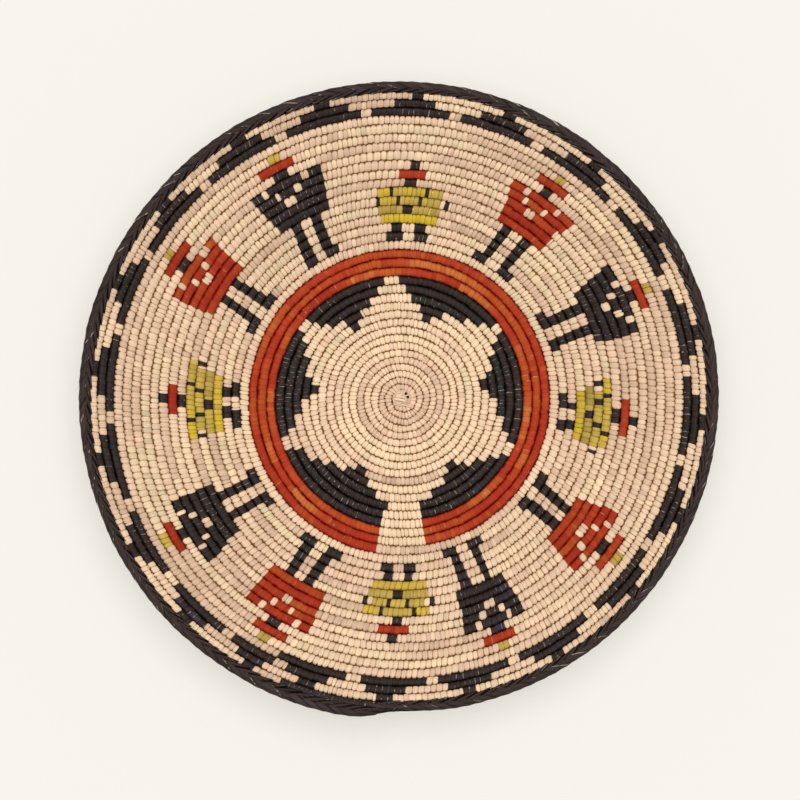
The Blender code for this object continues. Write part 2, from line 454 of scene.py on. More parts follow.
def newMaterial(name):
    made = bpy.data.materials.new(name)
    made.use_nodes = True
    return made, made.node_tree, made.node_tree.nodes["Principled BSDF"]


def setFinish(tree, shader, base, roughness, shine):
    labels = ("Base Color", "Roughness", "Specular IOR Level")
    feed(tree, [shader.inputs[label] for label in labels], (base, roughness, shine))


def addBump(tree, shader, height, look):
    node = tree.nodes.new("ShaderNodeBump")
    node.inputs["Strength"].default_value = look["bump"]
    node.inputs["Distance"].default_value = look["bumpDepth"]
    tree.links.new(height, node.inputs["Height"])
    tree.links.new(node.outputs[0], shader.inputs["Normal"])


# Each dye's look: its tones from 0 to 1, the strip's dark edge, partly painted shade between neighbouring
# stitches and partly its darker fibre ends, the painted shade of the gap that it dives into between two rows,
# the pale side that the dye missed, how much its fibres differ, and its finish
dyes = {
    "natural": {
        "tones": [(0.0, colour(225, 190, 158)), (0.25, colour(241, 204, 171)), (0.5, colour(247, 213, 177)),
                  (0.75, colour(250, 218, 178)), (1.0, colour(238, 212, 172))],
        "edge": colour(142, 94, 48), "edgeShare": 0.9,
        "gap": colour(158, 106, 52), "gapFrom": 0.70, "gapMiddle": 0.24, "gapShare": 0.8,
        "pale": colour(255, 240, 214), "streak": 0.28, "roughness": 0.55, "shine": 0.25,
    },
    "black": {
        "tones": [(0.0, colour(38, 39, 36)), (0.25, colour(46, 36, 31)), (0.55, colour(49, 38, 35)),
                  (0.85, colour(51, 40, 42)), (1.0, colour(57, 47, 60))],
        "edge": colour(4, 2, 1), "edgeShare": 1.0,
        "gap": colour(9, 5, 4), "gapFrom": 0.46, "gapMiddle": 0.74, "gapShare": 0.97,
        "pale": colour(176, 164, 146), "streak": 0.34, "roughness": 0.5, "shine": 0.10,
    },
    "red": {
        "tones": [(0.0, colour(168, 52, 30)), (0.3, colour(178, 63, 34)), (0.6, colour(184, 78, 36)),
                  (0.85, colour(192, 92, 42)), (1.0, colour(201, 112, 56))],
        "edge": colour(136, 26, 4), "edgeShare": 0.62,
        "gap": colour(132, 10, 2), "gapFrom": 0.52, "gapMiddle": 0.62, "gapShare": 0.97,
        "pale": colour(226, 160, 104), "streak": 0.30, "roughness": 0.6, "shine": 0.07,
    },
    "yellow": {
        "tones": [(0.0, colour(170, 142, 66)), (0.3, colour(187, 160, 74)), (0.6, colour(198, 167, 72)),
                  (0.8, colour(205, 172, 70)), (1.0, colour(211, 179, 42))],
        "edge": colour(104, 72, 18), "edgeShare": 0.85,
        "gap": colour(92, 62, 14), "gapFrom": 0.76, "gapMiddle": 0.35, "gapShare": 0.85,
        "pale": colour(244, 226, 150), "streak": 0.28, "roughness": 0.55, "shine": 0.2,
    },
}

# What all strips have in common. Widths are shares of a strip's width.
splint = {
    "fibreScale": 5.0,
    "fibreStretch": 0.10,
    "fibreDetail": 3.0,
    "fibreRoughness": 0.6,
    "fibreRange": 50.0,  # every strip has its fibres from another place in this range
    "edgeWidth": 0.17,
    "paleWidth": 0.17,
    "paleScale": 1.1,
    "paleBreaks": (0.47, 0.58),
    "gapMiddleAt": 0.86,  # shares of the way down into a gap
    "gapFullAt": 0.97,
    "roughnessSpread": 0.18,
    "bump": 0.35,
    "bumpDepth": 0.0003,
}


def makeSplintMaterial(name, dye):
    # split leaf: tone from the stitch, fibres along the strip, darker edges, partly painted shade where
    # stitches meet, painted shade where it dives between two rows, and on some strips a pale side that the
    # dye missed
    look = dyes[dye]
    made, tree, shader = newMaterial(name)
    uv = tree.nodes.new("ShaderNodeUVMap")
    uv.uv_map = "stripMap"
    u, v, _ = separate(tree, uv.outputs[0])
    fibre = attribute(tree, "fibre")
    stretched = combine(tree, u, times(tree, v, splint["fibreStretch"]), fibre)
    strands = noise(tree, stretched, splint["fibreScale"], splint["fibreDetail"], splint["fibreRoughness"])
    base = ramp(tree, attribute(tree, "tone"), look["tones"])
    shade = plus(tree, attribute(tree, "shade"), 1.0)
    streak = timesPlus(tree, minus(tree, strands, 0.5), look["streak"] * 2, shade)
    base = mixColour(tree, "MULTIPLY", 1.0, base, combine(tree, streak, streak, streak))

    # the strip's dark edges: partly painted shade where neighbouring stitches meet, partly darker fibre at
    # its sides
    fromMiddle = mathNode(tree, "ABSOLUTE", minus(tree, u, 0.5))
    edgeStops = [(0.5 - splint["edgeWidth"], grey(0.0)), (0.5, grey(look["edgeShare"]))]
    atEdge = times(tree, ramp(tree, fromMiddle, edgeStops), attribute(tree, "seam"))
    base = mixColour(tree, "MIX", atEdge, base, look["edge"])

    atSide = mathNode(tree, "GREATER_THAN", u, 1 - splint["paleWidth"])
    pieces = noise(tree, combine(tree, fibre, v, 0.0), splint["paleScale"])
    broken = ramp(tree, pieces, [(place, grey(share)) for share, place in enumerate(splint["paleBreaks"])])
    pale = times(tree, times(tree, attribute(tree, "pale"), atSide), broken)
    base = mixColour(tree, "MIX", pale, base, look["pale"])

    # painted shade: darker where the strip dives into the gap between two rows
    gapStops = [(look["gapFrom"], grey(0.0)), (splint["gapMiddleAt"], grey(look["gapMiddle"])),
                (splint["gapFullAt"], grey(look["gapShare"]))]
    base = mixColour(tree, "MIX", ramp(tree, attribute(tree, "dive"), gapStops), base, look["gap"])
    spread = splint["roughnessSpread"]
    roughness = timesPlus(tree, strands, spread, look["roughness"] - spread / 2)
    setFinish(tree, shader, base, roughness, look["shine"])
    addBump(tree, shader, strands, splint)
    return made


# Peeled rods seen between the stitches: a light and a dark brown for the coil and for the rim
rodLook = {
    "coil": (colour(160, 114, 66), colour(108, 76, 42)),
    # the rim's rods near black: partly the black wrap that hides them, partly painted shade between the
    # braid's strands
    "rim": (colour(48, 38, 34), colour(24, 18, 16)),
    # painted shade of the rods between dyed stitches: near black under black rows, dark red under red ones
    "paintedShades": {"blackRowShade": colour(5, 3, 2), "redRowShade": colour(108, 8, 1)},
    "grainScale": 900.0,
    "grainDetail": 3.0,
    "grainRoughness": 0.6,
    "darkTo": 0.35,
    "lightFrom": 0.65,
    "roughness": 0.9,
    "shine": 0.05,
    "bump": 0.5,
    "bumpDepth": 0.0003,
}


def makeRodMaterial(name, light, dark):
    # a fine grain of two browns, with painted shade under black and red strips
    made, tree, shader = newMaterial(name)
    place = tree.nodes.new("ShaderNodeTexCoord").outputs["Object"]
    grain = noise(tree, place, rodLook["grainScale"], rodLook["grainDetail"], rodLook["grainRoughness"])
    base = ramp(tree, grain, [(rodLook["darkTo"], dark), (rodLook["lightFrom"], light)])
    # painted shade: the rods darkened where dyed strips cover them
    for label, shadeColour in rodLook["paintedShades"].items():
        base = mixColour(tree, "MIX", attribute(tree, label), base, shadeColour)
    setFinish(tree, shader, base, rodLook["roughness"], rodLook["shine"])
    addBump(tree, shader, grain, rodLook)
    return made


materials = {dye: makeSplintMaterial(dye + "Splint", dye) for dye in dyes}
materials["rods"] = makeRodMaterial("peeledRods", *rodLook["coil"])
materials["rimRods"] = makeRodMaterial("darkRods", *rodLook["rim"])
print("materials made")

# The pattern, read from the plate. Angles run anticlockwise from three o'clock, and a pattern row
# starts at its seam. A row of the star holds the black stitches between its six points.
pattern = {
    "sixOClock": coil["sixOClock"] + 360,
    "seam": 278.0,
    "borderSeam": 244.5,
    "ringRows": (16, 19),  # its first row, and the one past its last
    "ringEnd": (640, 0.3),  # the angle and tone that each row of the ring ends with
    "borderRow": 34,
    "pathway": (260.3, 279.6),
    "shortestRun": 1e-4,
    "touching": 1e-6,
}
starRows = {
    10: [(236.2, 243.8)],
    11: [(303.5, 310.5), (6.8, 14.5), (70, 75.9), (119.3, 125), (170.3, 176.2), (230.9, 247.9)],
    12: [(298, 315), (1.2, 18.2), (64.1, 78.6), (115, 125.9), (166.2, 179.5), (220.9, 254.8)],
    13: [(287.7, 322.9), (350.7, 26.4), (51.4, 84.5), (107.7, 134.1), (155.5, 187.7), (214.4, 262.7)],
    14: [(279.8, 328.2), (342.9, 31.6), (43.6, 87.7), (102.3, 137.7), (149.1, 194.4), (205.5, 260.7)],
    15: [(279.8, 332.1), (338.6, 34.4), (38.9, 91.2), (98.2, 139.5), (145.5, 197.5), (203.6, 260.5)],
}

# How orange the ring is, from 0 to 1, by row: each pair gives the angle that a tone holds from
ringTones = {
    16: [(278, 0.2), (310, 0.75), (325, 0.2), (344, 0.8), (368, 0.45), (390, 0.2), (405, 0.65), (435, 0.2),
         (450, 0.5), (461, 0.7), (482, 0.1), (505, 0.45), (520, 0.1), (540, 0.65), (558, 0.2), (585, 0.6)],
    17: [(278, 0.6), (310, 0.1), (332, 0.85), (340, 0.4), (360, 0.65), (369, 0.3), (393, 0.6), (426, 0.85),
         (455, 0.55), (475, 0.3), (482, 0.5), (515, 0.1), (527, 0.4), (555, 0.85), (573, 0.3), (580, 0.95),
         (600, 0.05)],
    18: [(278, 0.4), (300, 0.25), (325, 0.15), (360, 0.2), (378, 0.1), (400, 0.15), (442, 0.5), (460, 0.3),
         (480, 0.35), (506, 0.6), (532, 0.2), (541, 0.5), (556, 0.05)],
}
# How golden the yellow dresses are, from 0 to 1, by row
yellowTones = {22: 0.93, 23: 0.22, 24: 0.5, 25: 0.75, 32: 0.35}

# Figures stand with their feet towards the centre. A span gives degrees from the figure's middle line.
figureRows = {"feet": 20, "ankles": 21, "legTops": 24, "shortFeather": 28, "tallFeather": 32}
tallFigures = [
    {"axis": 24.0, "dress": "black", "feather": (-0.7, 1.5), "hat": (-3.5, 3.2), "head": (-1.0, 1.6),
     "collar": [(-8, -5.5), (-3.8, 3.5), (5.1, 9.3)], "chest": [(-8.2, -3.2), (-1.6, 1.5), (3.1, 8.7)],
     "waist": [(-8.2, -0.7), (1.5, 8.6)], "skirt": [(-8.1, 8.1)], "hem": [(-7.5, 7.7)],
     "legTops": [(-4.9, -1.8), (1.6, 4.8)], "ankles": [(-5, -2), (2, 5.4)],
     "feet": [(-6.4, -2.1), (2.1, 8.4)]},
    {"axis": 55.0, "dress": "red", "feather": (-2.1, 0), "hat": (-4, 3.4), "head": (-1.2, 1.2),
     "collar": [(-9.4, -5.5), (-4.2, 3.1), (4.6, 8)], "chest": [(-9, -3), (-1.8, 2.4), (3.6, 7.6)],
     "waist": [(-7.6, -0.9), (1.7, 7)], "skirt": [(-8, 7)], "hem": [(-8, 6.9)],
     "legTops": [(-4.8, -1.7), (2, 4.8)], "ankles": [(-4.3, -1.4), (2.9, 5.8)],
     "feet": [(-7.2, -1.5), (3.7, 8.9)]},
    {"axis": 118.7, "dress": "black", "feather": (-2.2, 0.5), "hat": (-4.5, 3.7), "head": (-2.3, 1.3),
     "collar": [(-9.6, -6.4), (-4.6, 4.2), (5.6, 8.3)], "chest": [(-9.5, -3.7), (-1.8, 2.1), (3.1, 8.1)],
     "waist": [(-9.1, -1.1), (1.9, 7.9)], "skirt": [(-8.6, 7.5)], "hem": [(-8.3, 7.1)],
     "legTops": [(-5, -2.1), (1.2, 4)], "ankles": [(-4.7, -1.1), (2, 5.9)],
     "feet": [(-6.3, -1.3), (2, 6.5)]},
    {"axis": 148.6, "dress": "red", "feather": (-1.8, 0.4), "hat": (-4.9, 3.4), "head": (-2, 1.2),
     "collar": [(-9, -6.8), (-4.3, 3.4), (4.7, 7.1)], "chest": [(-8.6, -3.8), (-2.1, 1), (2.4, 7.4)],
     "waist": [(-8.5, -2), (0.7, 7.4)], "skirt": [(-8.4, 7.4)], "hem": [(-8.5, 7.1)],
     "legTops": [(-4.9, -2.6), (0.6, 2.9)], "ankles": [(-6.2, -2.6), (1.2, 4.2)],
     "feet": [(-8, -2.5), (1.5, 7.6)]},
    {"axis": 211.8, "dress": "black", "feather": (-2.2, 0.9), "hat": (-3.9, 3.2), "head": (-1.3, 1.2),
     "collar": [(-7.6, -4.9), (-3.9, 4.3), (5.4, 8.7)], "chest": [(-7.8, -3.3), (-2, 2.8), (4, 8.6)],
     "waist": [(-7.6, -0.6), (1.9, 8)], "skirt": [(-7.9, 7.2)], "hem": [(-7.8, 7.2)],
     "legTops": [(-4.9, -2.3), (1.5, 3.9)], "ankles": [(-4.9, -1.7), (1.9, 4.6)],
     "feet": [(-7.2, -1.7), (2, 7)]},
    {"axis": 239.8, "dress": "red", "feather": (-0.9, 1.6), "hat": (-3, 4.8), "head": (-0.9, 2.1),
     "collar": [(-7.7, -4.6), (-3, 4.5), (6.1, 8.6)], "chest": [(-7.8, -2.5), (-1.2, 2.3), (3.4, 8.9)],
     "waist": [(-7.6, -0.6), (1.7, 8.5)], "skirt": [(-7.5, 8.8)], "hem": [(-7.5, 8.8)],
     "legTops": [(-3.8, -1.1), (1.9, 4.8)], "ankles": [(-4.4, -0.8), (2.9, 6.4)],
     "feet": [(-6.1, -0.5), (3.8, 9.4)]},
    {"axis": 292.3, "dress": "black", "feather": (-0.8, 1.5), "hat": (-3.5, 3.7), "head": (-1.1, 2.3),
     "collar": [(-7.1, -4.1), (-2.6, 3.8), (5, 8)], "chest": [(-6.8, -2.5), (-0.7, 2.7), (4.2, 8.2)],
     "waist": [(-6.3, -0.4), (2.5, 7.9)], "skirt": [(-6.6, 7.8)], "hem": [(-6.6, 7.7)],
     "legTops": [(-4.7, -1.3), (2.7, 4.5)], "ankles": [(-4.9, -2), (2.5, 5.4)],
     "feet": [(-7.3, -2.2), (2.1, 7.8)]},
    {"axis": 323.3, "dress": "red", "feather": (-1.4, 1.5), "hat": (-4, 4.7), "head": (-1.4, 2.1),
     "collar": [(-8.1, -5.1), (-3.6, 4.7), (6, 8.9)], "chest": [(-8, -3.4), (-1.6, 2.5), (3.8, 9)],
     "waist": [(-7.5, -1), (2.4, 8.2)], "skirt": [(-7.2, 8)], "hem": [(-7, 7.6)],
     "legTops": [(-3.9, -0.8), (1.9, 4.5)], "ankles": [(-4.2, -0.5), (2.9, 6.3)],
     "feet": [(-5.6, -0.9), (3.5, 9.6)]},
]
shortFigures = [
    {"axis": 88.0, "feather": (-2.6, -0.3), "hat": (-4.2, 2.5), "head": (-2, 1.1),
     "collar": [(-9.5, 8.6)], "collarMarks": [(-5.6, -4.6), (4.3, 5.2)],
     "chest": [(-9.2, 8.2)], "chestMarks": [(-3.9, -2.9), (2.4, 3.4)], "hands": [(-11.8, -10.5), (8.2, 9.2)],
     "waist": [(-9.5, 9)], "buckle": [(-1.3, 1.7)], "hem": [(-9.1, 8.5)],
     "legs": [(-6, -2.3), (1.9, 5.3)], "feet": [(-7, -2.3), (1.5, 7.4)]},
    {"axis": 180.0, "feather": (-1.4, 0.8), "hat": (-3.8, 3.7), "head": (-1.3, 2),
     "collar": [(-10.8, 10.8)], "collarMarks": [(-4.8, -3.8), (5, 6.1)],
     "chest": [(-8.8, 8.6)], "chestMarks": [(-3.1, -2), (3.7, 4.8)], "hands": [(-10.8, -9.5), (9.7, 10.8)],
     "waist": [(-8.5, 10)], "buckle": [(0, 2.9)], "hem": [(-7.6, 9.9)],
     "legs": [(-4.2, -1), (2, 5.9)], "feet": [(-6, -1.1), (3.5, 9.7)]},
    {"axis": 268.6, "feather": (-1.9, 0.5), "hat": (-4.3, 3.3), "head": (-0.9, 1.6),
     "collar": [(-9, 9)], "collarMarks": [(-4.5, -3.5), (4.3, 5.5)],
     "chest": [(-6.7, 7.9)], "chestMarks": [(-2.7, -1.6), (2.6, 3.6)], "hands": [(-9.5, -8.2), (9.4, 10.8)],
     "waist": [(-8.3, 9.2)], "buckle": [(-1.1, 1.8)], "hem": [(-7.4, 9)],
     "legs": [(-4.3, -1.4), (2.4, 4.9)], "feet": [(-5.6, -1.3), (2.1, 6.2)]},
    {"axis": 355.0, "feather": (-1.5, 0.6), "hat": (-4.5, 5), "head": (-1.3, 2.7),
     "collar": [(-8.5, 10.9)], "collarMarks": [(-5.1, -3.9), (5.5, 6.7)],
     "chest": [(-8.7, 7.4)], "chestMarks": [(-3.1, -1.6), (3.5, 5.3)], "hands": [(-10.7, -9.7), (9, 10.5)],
     "waist": [(-8.3, 9.3)], "buckle": [(-0.6, 1.8)], "hem": [(-7.7, 7.8)],
     "legs": [(-4.9, -1.8), (1.9, 4)], "feet": [(-5.8, -2), (2.2, 7.4)]},
]

# Each step of the border, as angles: its foot from and to, its block from and to, its post from and to
borderSteps = [
    (244.6, 258.9, 247, 255.5, 250, 253.5), (261.9, 275.2, 263.1, 270.9, 265.3, 268.5),
    (277.5, 292.2, 279.3, 288, 282, 284.5), (294.5, 310.2, 297.1, 307.1, 300.1, 302.7),
    (313, 328, 315.2, 324.7, 319.1, 321.5), (330.5, 346.5, 332.7, 342, 335.5, 338.7),
    (348.7, 4.5, 351.2, 0.8, 354, 357), (6.9, 22.5, 8.5, 18.9, 11.3, 14.2),
    (25.5, 41.5, 27.5, 36.8, 31, 34), (43.9, 60.5, 46.7, 55.8, 49.1, 51.5),
    (63.1, 78, 65.1, 74.3, 67.8, 70.2), (80.3, 95.9, 83.3, 91.2, 85.7, 87.8),
    (97.9, 113.3, 100.2, 109.7, 103.5, 106.5), (115.7, 131.2, 117.9, 127.9, 120.5, 123.8),
    (133.5, 149.3, 136, 144.7, 139, 142.2), (151.1, 165, 152.9, 161.1, 155.9, 158.9),
    (167.2, 182.5, 170, 179.3, 172.8, 175.8), (184.9, 200.2, 187, 196.3, 190.2, 192.7),
    (202.9, 216.7, 205.1, 213.3, 208.3, 211.1), (219.8, 232.7, 221.9, 229.5, 224, 227),
    (235, 244.4, 237.1, 242.7, 239.2, 241.5),
]


def addSpan(rows, row, start, end, dye, seam):
    # later spans lie over earlier ones; a span that crosses the seam is cut in two
    start, end = (start - seam) % 360, (end - seam) % 360
    parts = [(start, end)] if start < end else [(start, 360.0), (0.0, end)]
    for low, high in parts:
        kept = []
        for a, b, old in rows.setdefault(row, [(0.0, 360.0, "natural")]):
            if b <= low or a >= high:
                kept.append((a, b, old))
                continue
            if a < low:
                kept.append((a, low, old))
            if b > high:
                kept.append((high, b, old))
        kept.append((low, high, dye))
        rows[row] = sorted(kept)


def addSpans(rows, row, axis, spans, dye):
    # past the seam, the same ring of the coil is the next row
    for start, end in spans:
        over = 1 if axis < pattern["seam"] <= axis + start else 0
        addSpan(rows, row + over, axis + start, axis + end, dye, pattern["seam"])


def addHeadgear(rows, featherRow, figure, featherDye):
    addSpans(rows, featherRow, figure["axis"], [figure["feather"]], featherDye)
    addSpans(rows, featherRow - 1, figure["axis"], [figure["hat"]], "red")
    addSpans(rows, featherRow - 2, figure["axis"], [figure["head"]], "black")


def addTallFigure(rows, figure):
    axis, top, foot = figure["axis"], figureRows["legTops"], figureRows["ankles"]
    addSpans(rows, figureRows["feet"], axis, figure["feet"], "black")
    for row in range(foot, top + 1):
        share = (row - foot) / (top - foot)
        legs = [(a + (c - a) * share, b + (d - b) * share)
                for (a, b), (c, d) in zip(figure["ankles"], figure["legTops"])]
        addSpans(rows, row, axis, legs, "black")
    for row, part in enumerate(("hem", "skirt", "waist", "chest", "collar"), top + 1):
        addSpans(rows, row, axis, figure[part], figure["dress"])
    addHeadgear(rows, figureRows["tallFeather"], figure, "yellow")


def addShortFigure(rows, figure):
    axis, foot = figure["axis"], figureRows["ankles"]
    addSpans(rows, figureRows["feet"], axis, figure["feet"], "black")
    addSpans(rows, foot, axis, figure["legs"], "black")
    for row, part in enumerate(("hem", "waist", "chest", "collar"), foot + 1):
        addSpans(rows, row, axis, figure[part], "yellow")
    addSpans(rows, foot + 2, axis, figure["buckle"], "black")
    addSpans(rows, foot + 3, axis, figure["chestMarks"] + figure["hands"], "black")
    addSpans(rows, foot + 4, axis, figure["collarMarks"], "black")
    addHeadgear(rows, figureRows["shortFeather"], figure, "black")


def makeInnerRows():
    rows, seam = {}, pattern["seam"]
    for row, spans in starRows.items():
        for start, end in spans:
            addSpan(rows, row, start, end, "black", seam)
    pathStart, pathEnd = pattern["pathway"]
    for row in range(*pattern["ringRows"]):
        addSpan(rows, row, pathEnd, pathStart + 360, "red", seam)
    for figure in tallFigures:
        addTallFigure(rows, figure)
    for figure in shortFigures:
        addShortFigure(rows, figure)
    return rows


def makeBorderRows():
    rows, seam = {}, pattern["borderSeam"]
    for step in borderSteps:
        for k in range(3):
            addSpan(rows, pattern["borderRow"] + k, step[2 * k], step[2 * k + 1], "black", seam)
    return rows


def seamShift(seam):
    # how far a seam lies past six o'clock, in turns
    return (seam - pattern["sixOClock"]) / 360


def dyeRuns():
    # (first turn, last turn, dye) all along the coil, from the centre to the end of the sewing
    runs = []
    borderFrom = pattern["borderRow"] + seamShift(pattern["borderSeam"])
    for rows, seam, low, high in ((makeInnerRows(), pattern["seam"], coil["firstTurn"], borderFrom),
                                  (makeBorderRows(), pattern["borderSeam"], borderFrom, rim["firstTurn"])):
        shift = seamShift(seam)
        for row in range(math.floor(low - 1), math.ceil(high + 1)):
            for a, b, dye in rows.get(row, [(0.0, 360.0, "natural")]):
                start, end = max(low, row + shift + a / 360), min(high, row + shift + b / 360)
                if end - start > pattern["shortestRun"]:
                    runs.append((start, end, dye))
    runs.append((rim["firstTurn"], rim["coverTurn"], "black"))
    merged = []
    for start, end, dye in sorted(runs):
        if merged and merged[-1][2] == dye and abs(merged[-1][1] - start) < pattern["touching"]:
            merged[-1] = (merged[-1][0], end, dye)
        else:
            merged.append((start, end, dye))
    return merged


# The rim: a black-wrapped end of the coil, under the braid's end, and one turn of braid
rim = {
    "firstTurn": 37 - 23 / 360,
    "coverTurn": 37 + 4 / 360,
    "braidTurn": 37 - 6 / 360,
    "endTurn": 38 - 1 / 360,
    "taper": 11 / 360,
    "width": 0.0062,
    "thickness": 0.0062,
    "tailWidth": 0.0032,
    "endTaper": 9 / 360,
    "endWidth": 0.0004,
    "period": 0.0084,
    "shade": 0.34,
    "shadeSpread": 0.16,
    "paleShare": 0.55,
    "bulge": 0.0008,
    "bulgeTurn": 37.93,
    "bulgeSpan": 0.045,
    "periodVaries": 0.16,
    "widthVaries": 0.022,
    "firstTone": 0.4,
    "tone": 0.5,
    "toneSpread": 0.15,
    "toneChange": 0.35,
    "pale": (0.4, 1.0),
    "lean": 0.05,
    "slant": 0.03,
    "loose": 0.08,
    "insideEnd": 0.9,  # the share of its run that a last strand keeps before the end
    "coreSteps": 260,
    "coreSides": 10,
    "coreHalfWidth": 0.92,
    "coreHalfHeight": 0.74,
    "seed": 71,
}

# Stitches: lengths in metres, and widths and leans as shares of a stitch
sewing = {
    "step": 0.0029,
    "firstStep": 0.0018,
    "firstTurns": 6.0,
    "lastStep": 0.0035,
    "lastTurn": 33.0,
    "stepVaries": (0.86, 1.22),  # a strip's own pace
    "tightness": (0.995, 1.03),
    "least": 0.62,  # the shortest and longest stitches, in steps
    "most": (1.22, 1.48),
    "firstMost": 0.85,
    "varies": 0.07,
    "offMiddle": 0.05,
    "lookAhead": 3,
    "leftOver": 0.45,  # less than this share of a step, and the last stitch of a run takes it in
    "runStitches": (7, 24),  # how many stitches one strip makes
    # the share of strips with a pale side, and the most of their stitches that show it
    "paleSides": {"natural": (0.3, 0.3), "black": (0.95, 1.3), "red": (0.5, 0.5), "yellow": (0.3, 0.3)},
    "strayPale": 0.02,
    "pale": (0.2, 0.7),
    "toneWander": {"natural": 0.10, "black": 0.13, "red": 0.11, "yellow": 0.15},
    "shadeSpread": 0.042,
    "runShadeSpread": 0.03,
    "innerLean": 0.02,
    "outerLean": -0.09,
    "runLean": 0.04,
    "lean": 0.035,
    "across": 0.05,
    "reach": (-0.06, 0.05),
    "overPad": 1.75,
    "padReach": (-0.02, 0.20),
    "seamPower": {"natural": 0.6, "black": 0.3, "red": 0.6, "yellow": 0.4},
    "innerSeam": 0.3,
    "seamTurns": 12,
    "loose": {"natural": 0.03, "black": 0.02, "red": 0.015, "yellow": 0.025},
    "seed": 11,
    "seedStep": 10,
}
# The usual tone of natural strips, its spread and their shade, by the turn that they hold from. Dyed strips
# have one of each, but in the ring and the yellow dresses the tone was read from the plate.
naturalTones = [(0, 0.12, 0.10, 0.0), (2.5, 0.26, 0.14, 0.0), (6.5, 0.66, 0.16, 0.0), (9.5, 0.36, 0.18, 0.0),
                (10.5, 0.50, 0.22, -0.04), (19, 0.40, 0.27, -0.08)]
dyedTones = {"black": (0.45, 0.17, 0.0), "red": (0.22, 0.20, -0.10)}
readToneSpread = {"red": 0.12, "yellow": 0.1}

# The band that each stitch is made of, in shares of the coil's half width and half thickness
band = {
    "sides": 16,
    "halfWidth": 1.0,
    "halfHeight": 0.94,
    "shoulder": 0.58,
    "bevel": 0.16,
    "outerDive": 0.93,
    "depth": 0.08,
    "stripsRound": 6.4,
}


def bandSpread(y, innerEnd, outerEnd):
    # the band's width: full on the face of the coil, narrower where it dives between its neighbours
    end = innerEnd if y < 0 else outerEnd
    return 1 - (1 - end) * eased((abs(y) - band["shoulder"]) / (1 - band["shoulder"]))


def newShape(*labels):
    # an empty shape with a strip map and named values for its points
    data = bmesh.new()
    uvs = data.loops.layers.uv.new("stripMap")
    return data, uvs, {label: data.verts.layers.float.new(label) for label in labels}


def joinRings(data, uvs, rings, acrossMap, alongMap):
    # faces from each ring to the next, mapped by their place across the strip and along it
    count = len(rings[0])
    for i in range(len(rings) - 1):
        for j in range(count):
            k = (j + 1) % count
            face = data.faces.new((rings[i][j], rings[i][k], rings[i + 1][k], rings[i + 1][j]))
            for loop, (side, step) in zip(face.loops, ((j, i), (k, i), (k, i + 1), (j, i + 1))):
                loop[uvs].uv = (acrossMap[side], alongMap[step])


def closeEnds(data, rings):
    data.faces.new(rings[0])
    data.faces.new(rings[-1])


def sharpenSides(data, rings):
    # the strip's two side edges, at the first and fourth place of its section, keep their own shading
    for near, far in zip(rings, rings[1:]):
        for j in (0, 3):
            data.edges.get((near[j], far[j])).smooth = False


def finishShape(data, name, inward=False):
    # smooth faces that point outward, or inward where a tree turns them over again
    for face in data.faces:
        face.smooth = True
    bmesh.ops.recalc_face_normals(data, faces=data.faces)
    if inward:
        bmesh.ops.reverse_faces(data, faces=data.faces)
    mesh = bpy.data.meshes.new(name)
    data.to_mesh(mesh)
    data.free()
    return mesh


def makeBand(name, width, crown, squareness, innerEnd, outerEnd):
    # a closed loop of strip round the coil, one unit wide: two low edges, two crowns and an inner keel
    data, uvs, values = newShape("dive")
    bevel, count = band["bevel"], band["sides"]
    crest = 0.5 - bevel
    profile = [(-0.5, 0.0, 0.0), (-crest, crown, bevel), (crest, crown, 1 - bevel), (0.5, 0.0, 1.0),
               (0.0, -band["depth"], 0.5)]
    power = 2 / squareness
    rings = []
    for i in range(count):
        phi = 2 * math.pi * (i + 0.5) / count
        c, s = math.cos(phi), math.sin(phi)
        y = math.copysign(abs(c) ** power, c) * band["halfWidth"]
        z = math.copysign(abs(s) ** power, s) * band["halfHeight"]
        spread = bandSpread(y, innerEnd, outerEnd) * width
        ring = [data.verts.new((x * spread, y * (1 + out), z * (1 + out))) for x, out, _ in profile]
        # painted shade: the dive value grows towards the row lines, where the band goes down between two
        # rows, and a little less on its outer side
        for vertex in ring:
            vertex[values["dive"]] = abs(y) * (band["outerDive"] if y > 0 else 1.0)
        rings.append(ring)
    rings.append(rings[0])
    alongMap = [step / count * band["stripsRound"] for step in range(count + 1)]
    joinRings(data, uvs, rings, [u for _, _, u in profile], alongMap)
    sharpenSides(data, rings)
    return addObject(name, finishShape(data, name, inward=True))


def flatness(turn):
    # the coil's height against its thickness: the fine inner turns are flatter
    inner = coil["innerFlatness"]
    return inner + (1 - inner) * eased((turn - coil["flatToTurn"]) / coil["roundingTurns"])


def stepAt(turn):
    fieldTurn = pattern["ringRows"][1]
    grown, outer = eased(turn / sewing["firstTurns"]), max(0.0, turn - fieldTurn)
    length = sewing["firstStep"] + (sewing["step"] - sewing["firstStep"]) * grown
    length += (sewing["lastStep"] - sewing["step"]) * min(1.0, outer / (sewing["lastTurn"] - fieldTurn))
    return length / (2 * math.pi * middleRadius(turn))


def nextEdge(draw, place, end, edges, pace):
    # the next stitch edge: over the middle of a stitch of the turn below where one lies in reach, and else
    # one step on
    step = stepAt(place) * pace
    wanted = place + step * draw.uniform(1 - sewing["varies"], 1 + sewing["varies"])
    j = bisect.bisect_left(edges, place - 1 - step)
    found = []
    while j + 1 < len(edges) and edges[j] < place - 1 + sewing["lookAhead"] * step:
        middle = (edges[j] + edges[j + 1]) / 2 + 1 + draw.gauss(0, sewing["offMiddle"]) * step
        most = draw.uniform(*sewing["most"]) * (1.0 if place > sewing["firstTurns"] else sewing["firstMost"])
        if place + sewing["least"] * step < middle < place + most * step:
            found.append(middle)
        j += 1
    if found:
        wanted = min(found, key=lambda middle: abs(middle - wanted))
    return end if end - wanted < sewing["leftOver"] * step else wanted


